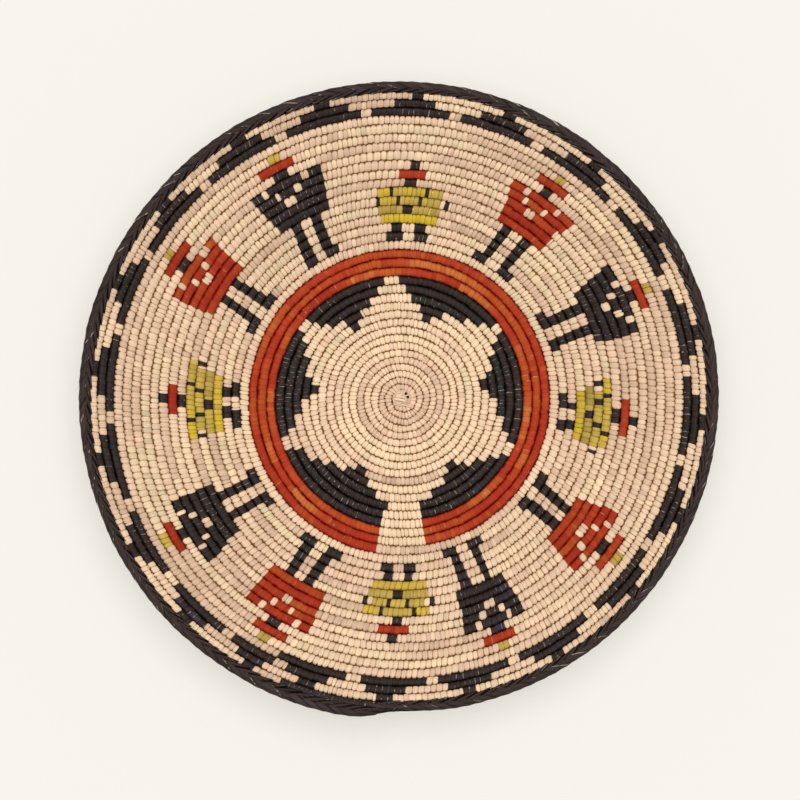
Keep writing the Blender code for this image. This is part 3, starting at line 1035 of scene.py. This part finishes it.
def usualTone(dye, turn):
    # a strip's usual tone at a place of the coil, the tone's spread and its shade
    if dye == "natural":
        return [tone[1:] for tone in naturalTones if tone[0] <= turn][-1]
    row = math.floor(turn - seamShift(pattern["seam"]))
    if dye == "red" and row in ringTones:
        angle = pattern["sixOClock"] + (turn % 1) * 360
        angle += 0 if angle >= pattern["seam"] else 360
        tones = ringTones[row] + [pattern["ringEnd"]]
        k = bisect.bisect_right([start for start, _ in ringTones[row]], angle) - 1
        (start, tone), (end, following) = tones[k:k + 2]
        # the tone holds over the first half of its span and then goes over into the following one
        share = eased((angle - start) / (end - start) * 2 - 1)
        return tone + (following - tone) * share, readToneSpread["red"], 0.0
    if dye == "yellow":
        return yellowTones[row if row in yellowTones else row - 1], readToneSpread["yellow"], 0.0
    return dyedTones[dye]


def newRun(draw, dye, turn):
    # what the stitches of one strip have in common; red strips are cut shorter
    inner = turn < pattern["ringRows"][1]
    runs, share = sewing["paleSides"][dye]
    return {
        "left": draw.randint(*sewing["runStitches"]) // (2 if dye == "red" else 1),
        "tone": draw.gauss(0, 1),
        "shade": draw.gauss(0, sewing["runShadeSpread"]),
        "lean": draw.gauss(sewing["innerLean"] if inner else sewing["outerLean"], sewing["runLean"]),
        "pace": draw.uniform(*sewing["stepVaries"]),
        "tight": draw.uniform(*sewing["tightness"]),
        "paleShare": draw.uniform(0, share) if draw.random() < runs else sewing["strayPale"],
    }


def newStitch(draw, dye, run, start, end):
    # one stitch from edge to edge, with the values that its band takes
    turn = (start + end) / 2
    usual, spread, darker = usualTone(dye, turn)
    tone = usual + spread * run["tone"] + draw.gauss(0, sewing["toneWander"][dye])
    onPad = start <= sewing["overPad"]
    reach = draw.uniform(*sewing["padReach" if onPad else "reach"])
    power = sewing["seamPower"][dye] * min(1.0, sewing["innerSeam"] + start / sewing["seamTurns"])
    return {"turn": turn, "dye": dye, "values": {
        "wide": (end - start) * run["tight"],
        "tone": clamped(tone),
        "shade": darker + run["shade"] + draw.gauss(0, sewing["shadeSpread"]),
        "lean": run["lean"],
        "pale": draw.uniform(*sewing["pale"]) if draw.random() < run["paleShare"] else 0.0,
        "seam": draw.random() ** power,
        "across": -reach if onPad else draw.gauss(0, sewing["across"]),
        "reach": reach,
        "widthShare": 1.0,
        "heightShare": flatness(turn),
    }}


def layOutStitches():
    # every stitch along the coil, in order
    draw = random.Random(sewing["seed"])
    stitches, edges = [], [coil["firstTurn"]]
    run, lastDye = {"left": 0}, None
    for start, end, dye in dyeRuns():
        place = start
        while place < end - tiny:
            if run["left"] <= 0 or dye != lastDye:
                run = newRun(draw, dye, place)
            edge = nextEdge(draw, place, end, edges, run["pace"])
            stitches.append(newStitch(draw, dye, run, place, edge))
            run["left"] -= 1
            lastDye = dye
            edges.append(edge)
            place = edge
    return stitches


# Zones of the plate, by turn: the name's start and the turns that it covers
zones = [
    ("centre", 0, 10), ("star", 10, 16.02), ("ring", 16.02, 19.02), ("fieldInner", 19.02, 23.5),
    ("fieldMiddle", 23.5, 27.5), ("fieldOuter", 27.5, 31), ("fieldEdge", 31, 33.9), ("border", 33.9, 38),
]
# Each dye's band: its width, its crown's height, how square the coil is under it, and the widths of its inner
# and outer ends
bands = {
    "natural": (1.005, 0.040, 2.6, 0.50, 0.58),
    "black": (1.03, 0.028, 2.25, 0.80, 0.84),
    "red": (1.03, 0.014, 2.35, 0.88, 0.90),
    "yellow": (1.02, 0.030, 2.4, 0.72, 0.80),
}


def groupStitches(stitches):
    # natural stitches go by zone, and dyed ones by dye in the star, ring, figures and border
    groups = {}
    for stitch in stitches:
        zone = [name for name, low, high in zones if low <= stitch["turn"] < high][0]
        if stitch["dye"] != "natural" and zone.startswith("field"):
            zone = "figure"
        groups.setdefault((zone, stitch["dye"]), []).append(stitch)
    return groups


def makeSewing(sewingTree):
    holders = {dye: makeBand(dye + "Band", *bands[dye]) for dye in dyes}
    made = {}
    for index, ((zone, dye), stitches) in enumerate(sorted(groupStitches(layOutStitches()).items())):
        name = zone + dye.capitalize() + "Stitches"
        places, rows = zip(*((stitch["turn"], stitch["values"]) for stitch in stitches))
        mesh = pointMesh(name, places, rows)
        piece = grow(name, mesh, sewingTree, {
            "Band": holders[dye], "Finish": materials[dye], "Slant": sewing["lean"],
            "Loose": sewing["loose"][dye], "Seed": sewing["seed"] + sewing["seedStep"] * index,
        })
        made[(zone, dye)] = piece
        print(name, len(stitches), "stitches", len(piece.data.polygons) * 2, "triangles")
    for holder in holders.values():
        bpy.data.objects.remove(holder)
    return made


def rimWidth(turn):
    # the braid's width: its start lies inside its own end, and both of its ends taper
    cover, last = rim["endTurn"] - 1, rim["endTurn"] - rim["endTaper"]
    if turn < cover:
        low, high, share = rim["tailWidth"], coil["borderPitch"], (turn - rim["firstTurn"]) / rim["taper"]
    elif turn < last:
        low, high, share = coil["borderPitch"], rim["width"], (turn - cover) / rim["taper"]
    else:
        low, high, share = rim["endWidth"], rim["width"], (rim["endTurn"] - turn) / rim["endTaper"]
    bulge = rim["bulge"] * eased(1 - abs(turn - rim["bulgeTurn"]) / rim["bulgeSpan"])
    return low + (high - low) * eased(share) + bulge


def rimShares(turn):
    # the braid's width and height against the coil's pitch along the slope and its thickness
    width = rimWidth(turn)
    pitch = coil["borderPitch"] / math.cos(math.radians(coil["wallSlope"]))
    return width / pitch, rim["thickness"] * (1 + width / rim["width"]) / 2 / coil["thickness"]


# The strands of the braid: lengths along the rim in periods, the rest in shares of the rim's half size. A
# path gives share, place across the rim, height and width. A strand is painted dark, as the shade where it
# goes under other strands and between stitches, up to the share darkTo and from darkFrom on, and light from
# lightFrom to lightTo. Shares below 0 or above 1 aren't reached. Outer strands come up over the crest and go
# round the outside, inner ones end in teeth on the last row of stitches, and under ones, painted dark at
# their start, fill in below the teeth.
strand = {
    "steps": 15,
    "slopeStep": 0.06,
    "crown": 0.09,
    "depth": 0.16,
    "stripsLong": 7.0,
    "Outer": {
        "run": 2.3, "halfWide": 0.76, "mapWide": 0.74, "skew": 0.0, "tilt": 0.03,
        "darkTo": 0.0, "lightFrom": 0.16, "lightTo": 2.0, "darkFrom": 2.0,
        "path": [
            (0.0, -0.50, 0.74, 0.4), (0.12, -0.24, 0.86, 0.75), (0.3, 0.28, 0.88, 1.0),
            (0.45, 0.68, 0.66, 1.0), (0.6, 0.92, 0.20, 1.0), (0.75, 0.84, -0.40, 1.0),
            (0.9, 0.42, -0.76, 0.9), (1.0, -0.06, -0.84, 0.4),
        ],
    },
    "Inner": {
        "run": 1.7, "halfWide": 0.60, "mapWide": 0.56, "skew": -0.20, "tilt": 0.08,
        "darkTo": -1.0, "lightFrom": 0.0, "lightTo": 0.86, "darkFrom": 1.06,
        "path": [
            (0.0, 0.14, 0.70, 0.5), (0.2, -0.12, 0.84, 0.9), (0.45, -0.50, 0.94, 1.0),
            (0.65, -0.84, 0.96, 1.0), (0.82, -1.10, 0.94, 0.85), (0.93, -1.26, 0.84, 0.6),
            (1.0, -1.36, 0.66, 0.3),
        ],
    },
    "Under": {
        "run": 1.5, "halfWide": 0.70, "mapWide": 0.5, "skew": 0.0, "tilt": 0.0,
        "darkTo": 0.4, "lightFrom": 0.7, "lightTo": 2.0, "darkFrom": 2.0,
        "path": [
            (0.0, -0.90, 0.74, 0.8), (0.25, -1.14, 0.66, 1.0), (0.45, -1.10, -0.10, 1.0),
            (0.65, -0.80, -0.52, 1.0), (0.85, -0.36, -0.78, 0.9), (1.0, 0.08, -0.84, 0.4),
        ],
    },
}


def pathAt(path, share):
    # the path's values at a share of its length
    k = min(len(path) - 2, max(0, bisect.bisect_right([place[0] for place in path], share) - 1))
    near, far = path[k], path[k + 1]
    part = (share - near[0]) / (far[0] - near[0])
    return [a + (b - a) * part for a, b in zip(near[1:], far[1:])]


def makeStrand(family):
    # one strand of the braid in a straight frame, a closed strip along its family's path
    look, steps = strand[family], strand["steps"]
    crown, tilt, slopeStep = strand["crown"], look["tilt"], strand["slopeStep"]
    data, uvs, values = newShape("dive")
    profile = [(-1.0, -tilt), (-0.5, crown - tilt / 2), (0.5, crown + tilt / 2), (1.0, tilt),
               (0.0, -strand["depth"])]
    rings = []
    for i in range(steps):
        share = i / (steps - 1)
        y, z, wide = pathAt(look["path"], share)
        before, after = (pathAt(look["path"], clamped(share + step)) for step in (-slopeStep, slopeStep))
        outY, outZ = after[1] - before[1], before[0] - after[0]
        length = math.hypot(outY, outZ) * (-1 if family == "Outer" else 1)
        # painted shade: a strand darker at the ends where it goes under other strands or between stitches
        darkStart = (look["lightFrom"] - share) / (look["lightFrom"] - look["darkTo"])
        darkEnd = (share - look["lightTo"]) / (look["darkFrom"] - look["lightTo"] + tiny)
        ring = []
        for x, out in profile:
            lift = out * wide / length
            placeX = look["run"] * share + x * look["halfWide"] * wide
            placeY = y - outY * lift + look["skew"] * x * eased(share)
            vertex = data.verts.new((placeX, placeY, z - outZ * lift))
            vertex[values["dive"]] = clamped(max(darkStart, darkEnd))
            ring.append(vertex)
        rings.append(ring)
    acrossMap = [0.5 + x * look["mapWide"] for x, _ in profile]
    alongMap = [step / steps * strand["stripsLong"] for step in range(steps)]
    joinRings(data, uvs, rings, acrossMap, alongMap)
    if family == "Outer":
        sharpenSides(data, rings)
    closeEnds(data, rings)
    return addObject("strand", finishShape(data, "strand", inward=True))


def braidPoints(name, family, offset, draw):
    # where the strands of a family start, one period after another, and how each one looks and lies
    places, rows = [], []
    unit = rim["period"] / (2 * math.pi * middleRadius(rim["endTurn"] - 0.5))
    half = strand[family]["run"] * unit / 2
    place, tone = rim["braidTurn"] + offset * unit, rim["firstTone"]
    while place + rim["insideEnd"] * 2 * half < rim["endTurn"]:
        if draw.random() < rim["toneChange"]:
            tone = clamped(draw.gauss(rim["tone"], rim["toneSpread"]))
        shares, before, after = (rimShares(place + half + step * half) for step in (0, -1, 1))
        uneven = draw.gauss(0, rim["widthVaries"])
        places.append(place)
        rows.append({
            "wide": unit,
            "tone": tone,
            "shade": rim["shade"] + draw.gauss(0.0, rim["shadeSpread"]),
            "lean": draw.gauss(0, rim["lean"]),
            "pale": draw.uniform(*rim["pale"]) if draw.random() < rim["paleShare"] else 0.0,
            "seam": draw.random(),
            "at": place + half,
            "widthShare": shares[0] + uneven,
            "widthSlope": (after[0] - before[0]) / (2 * half),
            "heightShare": shares[1],
            "heightSlope": (after[1] - before[1]) / (2 * half),
        })
        place += unit * draw.uniform(1 - rim["periodVaries"], 1 + rim["periodVaries"])
    return pointMesh(name, places, rows)


def makeRim(sewingTree, bundleTree):
    # the braid's three families of strands, half a period apart, round a core
    draw = random.Random(rim["seed"])
    braid = []
    for index, family in enumerate(("Outer", "Inner", "Under")):
        holder = makeStrand(family)
        points = braidPoints("braidPoints", family, 0.5 * index, draw)
        braid.append(grow("rimBraid" + family, points, sewingTree, {
            "Band": holder, "Finish": materials["black"], "Slant": rim["slant"], "Loose": rim["loose"],
            "Seed": rim["seed"] + index,
        }))
        bpy.data.objects.remove(holder)
    first, last, steps = rim["braidTurn"], rim["endTurn"], rim["coreSteps"]
    places = [first + (last - first) * i / steps for i in range(steps + 1)]
    rows = [dict(zip(("widthShare", "heightShare"), rimShares(place))) for place in places]
    core = grow("rimCore", pointMesh("rimCore", places, rows, joined=True), bundleTree, {
        "Finish": materials["rimRods"], "Sides": rim["coreSides"], "Half Width": rim["coreHalfWidth"],
        "Half Height": rim["coreHalfHeight"],
    })
    return [*braid, core]


# The wad that the coil starts round: a low pad with two holes, and flat strips that cross it. A skirt gives
# its height, its share of the pad's radius and its painted shade, and a hole its middle and radius. A strip
# gives three places that it goes through, its half width and how far it arches.
hub = {
    "x": 0.00015,
    "y": 0.0010,
    "radiusX": 0.0058,
    "radiusY": 0.0053,
    "rings": 36,
    "sides": 96,
    "edge": 0.0038,
    "crown": 0.0054,
    "raise": 0.0014,
    "raiseAngle": 250.0,
    "raiseFrom": 0.1,
    "raiseSpan": 0.6,
    "padTone": 0.3,
    # the whole pad painted darker, as shade under the strips that cross it
    "padShade": -0.18,
    "padFibre": 3.0,
    "mapAcross": 40,  # map values per metre
    "mapAlong": 200,
    "skirts": [(0.0005, 1.3, -0.55), (0.0012, 1.3, -0.55)],
    "lipDrop": 0.0012,
    "lipShare": 1.02,
    "lipShade": -0.65,
    "lipLeastShade": 0.3,
    "holes": [(0.00297, 0.00388, 0.00105), (0.00398, 0.00189, 0.00095)],
    "holeDepth": 0.0036,
    "holeFloor": 0.6,  # shares of the hole's radius
    "holeWall": 0.5,
    "strips": [
        ((-0.0053, 0.0008), (-0.0008, 0.0002), (0.0048, -0.0015), 0.0010, 0.00035),
        ((-0.0041, -0.0014), (0.0003, -0.0028), (0.0066, -0.0046), 0.00055, 0.00045),
        ((-0.0036, -0.0010), (0.0005, -0.0017), (0.0036, -0.0023), 0.0005, 0.00005),
        ((0.0022, 0.0022), (0.0032, 0.0029), (0.0048, 0.0035), 0.00045, 0.00040),
        ((0.0015, 0.0006), (0.0036, 0.0005), (0.0057, 0.0006), 0.0004, 0.00030),
        ((0.0018, -0.0005), (0.0032, -0.0010), (0.0047, -0.0016), 0.0003, 0.00060),
        ((0.0013, -0.0019), (0.0021, -0.0023), (0.0028, -0.0027), 0.0002, 0.00040),
        ((-0.0039, 0.0037), (-0.0015, 0.0031), (0.0012, 0.0039), 0.0007, 0.00010),
        ((-0.0044, 0.0024), (-0.0013, 0.0020), (0.0018, 0.0019), 0.0008, 0.00015),
        ((-0.0054, -0.0023), (-0.0036, -0.0028), (-0.0008, -0.0030), 0.0005, 0.00002),
    ],
    "stripProfile": [(-1.0, 0.0, 0.0), (-0.6, 0.8, 0.2), (0.6, 0.8, 0.8), (1.0, 0.0, 1.0), (0.0, -1.6, 0.5)],
    "stripTone": (0.25, 0.6),
    "stripShade": (0.02, 0.03),
    "stripEdgeShade": 0.5,
    "stripThickness": 0.00035,
    "stripNarrowing": 0.75,
    "stripMap": 0.3,
    "stripSteps": 12,
    "seed": 5,
}


def raised(x, y):
    # 1 where the pad's edge lies over the first stitches, 0 where they lie over it
    toward = math.cos(math.atan2(y - hub["y"], x - hub["x"]) - math.radians(hub["raiseAngle"]))
    return eased((toward - hub["raiseFrom"]) / hub["raiseSpan"])


def hubHeight(x, y):
    # height of the pad's top, without its holes
    dx, dy = (x - hub["x"]) / hub["radiusX"], (y - hub["y"]) / hub["radiusY"]
    edge = hub["edge"] + hub["raise"] * raised(x, y)
    return edge + (hub["crown"] - edge) * max(0.0, 1 - dx * dx - dy * dy)


def holeAt(x, y):
    # how far a place lies inside a hole, 0 to 1
    inside = 0.0
    for holeX, holeY, radius in hub["holes"]:
        out = math.hypot(x - holeX, y - holeY) / radius
        inside = max(inside, 1 - eased((out - hub["holeFloor"]) / hub["holeWall"]))
    return inside


def addPad(data, values):
    # the pad's top in rings, from its edge to the middle, where one point stays of the last ring
    grid = []
    for k in range(hub["rings"] + 1):
        share = 1 - k / hub["rings"]
        ring = []
        for i in range(hub["sides"]):
            angle = 2 * math.pi * i / hub["sides"]
            x = hub["x"] + hub["radiusX"] * share * math.cos(angle)
            y = hub["y"] + hub["radiusY"] * share * math.sin(angle)
            inside = holeAt(x, y)
            vertex = data.verts.new((x, y, hubHeight(x, y) - hub["holeDepth"] * inside))
            vertex[values["tone"]] = hub["padTone"]
            # painted shade: near black inside the holes, as the shade in them
            vertex[values["shade"]] = hub["padShade"] - (1 + hub["padShade"]) * inside
            vertex[values["fibre"]] = hub["padFibre"]
            ring.append(vertex)
        grid.append(ring)
    middle, *others = grid.pop()
    for vertex in others:
        data.verts.remove(vertex)
    return grid, middle


def addSkirts(data, values, edge):
    # rings below the pad's edge, down to its foot, painted dark as the shadow under it; the lip ring paints a
    # shadow line below the edge, strongest where the edge is raised
    skirts = []
    for height, share, shade in hub["skirts"] + [(None, hub["lipShare"], hub["lipShade"])]:
        skirt = []
        for vertex in edge:
            x = hub["x"] + (vertex.co.x - hub["x"]) * share
            y = hub["y"] + (vertex.co.y - hub["y"]) * share
            lower = data.verts.new((x, y, height or vertex.co.z - hub["lipDrop"]))
            least = 1.0 if height else hub["lipLeastShade"]
            lower[values["shade"]] = shade * (least + (1 - least) * raised(x, y))
            skirt.append(lower)
        skirts.append(skirt)
    return skirts


def addHubStrip(data, uvs, values, draw, first, second, third, halfWide, lift):
    # a flat strip through three places of the pad's top, thin at its edges and ends
    tone, shade = draw.uniform(*hub["stripTone"]), draw.gauss(*hub["stripShade"])
    fibre = draw.uniform(0, splint["fibreRange"])
    rings = []
    for k in range(hub["stripSteps"] + 1):
        # a curve through the three places, and the way that it goes there
        t = k / hub["stripSteps"]
        a, b, c = (1 - t) * (1 - 2 * t), 4 * t * (1 - t), t * (2 * t - 1)
        x, y = (a * p + b * q + c * r for p, q, r in zip(first, second, third))
        a, b, c = 4 * t - 3, 4 - 8 * t, 4 * t - 1
        dx, dy = (a * p + b * q + c * r for p, q, r in zip(first, second, third))
        length = math.hypot(dx, dy)
        slim = 1 - hub["stripNarrowing"] * abs(2 * t - 1) ** 6
        ring = []
        for across, up, _ in hub["stripProfile"]:
            px = x - dy / length * across * halfWide * slim
            py = y + dx / length * across * halfWide * slim
            pz = hubHeight(px, py) + lift * (1 - (2 * t - 1) ** 4) + up * hub["stripThickness"] * slim
            vertex = data.verts.new((px, py, pz))
            vertex[values["tone"]], vertex[values["fibre"]], vertex[values["seam"]] = tone, fibre, 1.0
            # painted shade: the strip's sides and underside darker
            vertex[values["shade"]] = shade - hub["stripEdgeShade"] * (up <= 0)
            ring.append(vertex)
        rings.append(ring)
    alongMap = [step * hub["stripMap"] for step in range(len(rings))]
    joinRings(data, uvs, rings, [u for _, _, u in hub["stripProfile"]], alongMap)
    closeEnds(data, rings)


def makeHub():
    data, uvs, values = newShape("tone", "shade", "fibre", "seam")
    draw = random.Random(hub["seed"])
    grid, middle = addPad(data, values)
    rings = addSkirts(data, values, grid[0]) + grid
    sides = [(i, (i + 1) % hub["sides"]) for i in range(hub["sides"])]
    for lower, upper in zip(rings, rings[1:]):
        for i, j in sides:
            data.faces.new((lower[i], lower[j], upper[j], upper[i]))
    for i, j in sides:
        data.faces.new((grid[-1][i], grid[-1][j], middle))
    data.faces.new(rings[0])
    for face in data.faces:
        for loop in face.loops:
            loop[uvs].uv = (0.5 + loop.vert.co.y * hub["mapAcross"], loop.vert.co.x * hub["mapAlong"])
    for strip in hub["strips"]:
        addHubStrip(data, uvs, values, draw, *strip)
    mesh = finishShape(data, "startKnot")
    mesh.materials.append(materials["natural"])
    return addObject("startKnot", mesh)


# The rods that the stitches wrap, with painted shade where dyed strips cover them
bundle = {
    "stepsPerTurn": 120,
    "sides": 10,
    "halfWidth": 1.10,
    "halfHeight": 0.82,
    "besideShade": 0.65,
    "shadeEnd": 0.0005,
}


def rowShadeAt(runs, starts, dye, place):
    # painted shade: full under the dye's own strips, and less under natural ones beside a row of them
    turns = (place, place - 1, place + 1)
    own, *near = (runs[max(0, bisect.bisect_right(starts, turn + tiny) - 1)][2] for turn in turns)
    return bundle["besideShade"] * (dye in near) if own == "natural" else float(own == dye)


def makeBundle(bundleTree):
    length = rim["coverTurn"] - coil["firstTurn"]
    steps = round(length * bundle["stepsPerTurn"])
    runs = dyeRuns()
    starts = [start for start, _, _ in runs]
    # even places, and one on each side of every change of dye, where the painted shade ends
    places = [coil["firstTurn"] + length * i / steps for i in range(steps + 1)]
    places = sorted(places + [start + side * bundle["shadeEnd"] for start in starts[1:] for side in (-1, 1)])
    rows = [{
        "widthShare": 1.0, "heightShare": flatness(place),
        "blackRowShade": rowShadeAt(runs, starts, "black", place), "redRowShade": rowShadeAt(runs, starts, "red", place),
    } for place in places]
    return grow("rodBundle", pointMesh("rodBundle", places, rows, joined=True), bundleTree, {
        "Finish": materials["rods"], "Sides": bundle["sides"], "Half Width": bundle["halfWidth"],
        "Half Height": bundle["halfHeight"],
    })


boundaryTree = makeBoundaryTree()
layTree = makeLayTree(boundaryTree)
sewingTree = makeSewingTree(layTree)
bundleTree = makeBundleTree(layTree)

stitchPieces = makeSewing(sewingTree)
rimPieces = makeRim(sewingTree, bundleTree)
rodPiece = makeBundle(bundleTree)
hubPiece = makeHub()
print("sewing, rim, rods and hub made")

for piece in [*stitchPieces.values(), *rimPieces, rodPiece, hubPiece]:
    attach(piece, "root")


def nodesNamed(*starts):
    return [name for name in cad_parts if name.startswith(starts)]


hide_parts(*nodesNamed("centre_sewing"))
innerStar = nodesNamed("star_sewing_turn_10", "star_sewing_turn_11")
outerStar = [name for name in nodesNamed("star_sewing") if name not in innerStar]
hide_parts(*innerStar)
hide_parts(*outerStar)
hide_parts(*nodesNamed("red_ring_sewing"))
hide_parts(*nodesNamed("pathway_sewing"))
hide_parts(*nodesNamed("field_sewing"))
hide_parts(*nodesNamed("border_sewing"))
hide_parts("rim_braid")
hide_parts("rod_bundle")
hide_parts("start_knot")

# Camera, lights and floor. The sun and the sky together light a level surface at about 1.
studio = {
    "viewWidth": 0.505,
    "distance": 8.0,
    "lookX": -0.00095,
    "lookY": 0.0,
    "sensor": 36.0,
    "skyLight": 0.40,
    "paper": colour(248, 244, 236),
    "paperGlow": 0.6,
    "paperRoughness": 0.9,
    "sunLight": 1.98,
    "sunFrom": (0.025, 0.185, 1.0),
    "sunAngle": 55.0,
    "floorSize": 8.0,
}


def makeCamera():
    data = bpy.data.cameras.new("camera")
    data.sensor_width = studio["sensor"]
    data.lens = studio["sensor"] * studio["distance"] / studio["viewWidth"]
    camera = addObject("camera", data)
    camera.location = (studio["lookX"], studio["lookY"], studio["distance"])
    bpy.context.scene.camera = camera


def addSun():
    data = bpy.data.lights.new("sun", "SUN")
    data.energy = studio["sunLight"]
    data.angle = math.radians(studio["sunAngle"])
    sun = addObject("sun", data)
    sun.rotation_euler = (-Vector(studio["sunFrom"])).to_track_quat("-Z", "Y").to_euler()


def mixShaders(tree, factor, first, second, result):
    mix = tree.nodes.new("ShaderNodeMixShader")
    for value, socket in zip((factor, first, second), mix.inputs):
        tree.links.new(value, socket)
    tree.links.new(mix.outputs[0], result)


def makeWorld():
    world = bpy.data.worlds.new("studio")
    world.use_nodes = True
    bpy.context.scene.world = world
    tree = world.node_tree
    tree.nodes.clear()
    light, paper = (tree.nodes.new("ShaderNodeBackground") for _ in range(2))
    feed(tree, light.inputs, (grey(1.0), studio["skyLight"]))
    feed(tree, paper.inputs, (studio["paper"],))
    rays = tree.nodes.new("ShaderNodeLightPath").outputs
    seen = mathNode(tree, "MAXIMUM", rays["Is Camera Ray"], rays["Is Glossy Ray"])
    out = tree.nodes.new("ShaderNodeOutputWorld")
    mixShaders(tree, seen, light.outputs[0], paper.outputs[0], out.inputs[0])


def makeFloor():
    half = studio["floorSize"] / 2
    corners = [(-half, -half, 0), (half, -half, 0), (half, half, 0), (-half, half, 0)]
    mesh = bpy.data.meshes.new("floor")
    mesh.from_pydata(corners, [], [(0, 1, 2, 3)])
    made, tree, shader = newMaterial("paper")
    setFinish(tree, shader, studio["paper"], studio["paperRoughness"], 0.0)
    # the camera sees part of the paper's colour in any light, so the shadow on it stays faint
    glow = tree.nodes.new("ShaderNodeEmission")
    glow.inputs["Color"].default_value = studio["paper"]
    seen = tree.nodes.new("ShaderNodeLightPath").outputs["Is Camera Ray"]
    share = times(tree, seen, studio["paperGlow"])
    mixShaders(tree, share, shader.outputs[0], glow.outputs[0], tree.nodes["Material Output"].inputs[0])
    mesh.materials.append(made)
    addObject("floor", mesh)


makeCamera()
addSun()
makeWorld()
makeFloor()
bpy.context.scene.view_settings.view_transform = "Standard"
print("studio made")
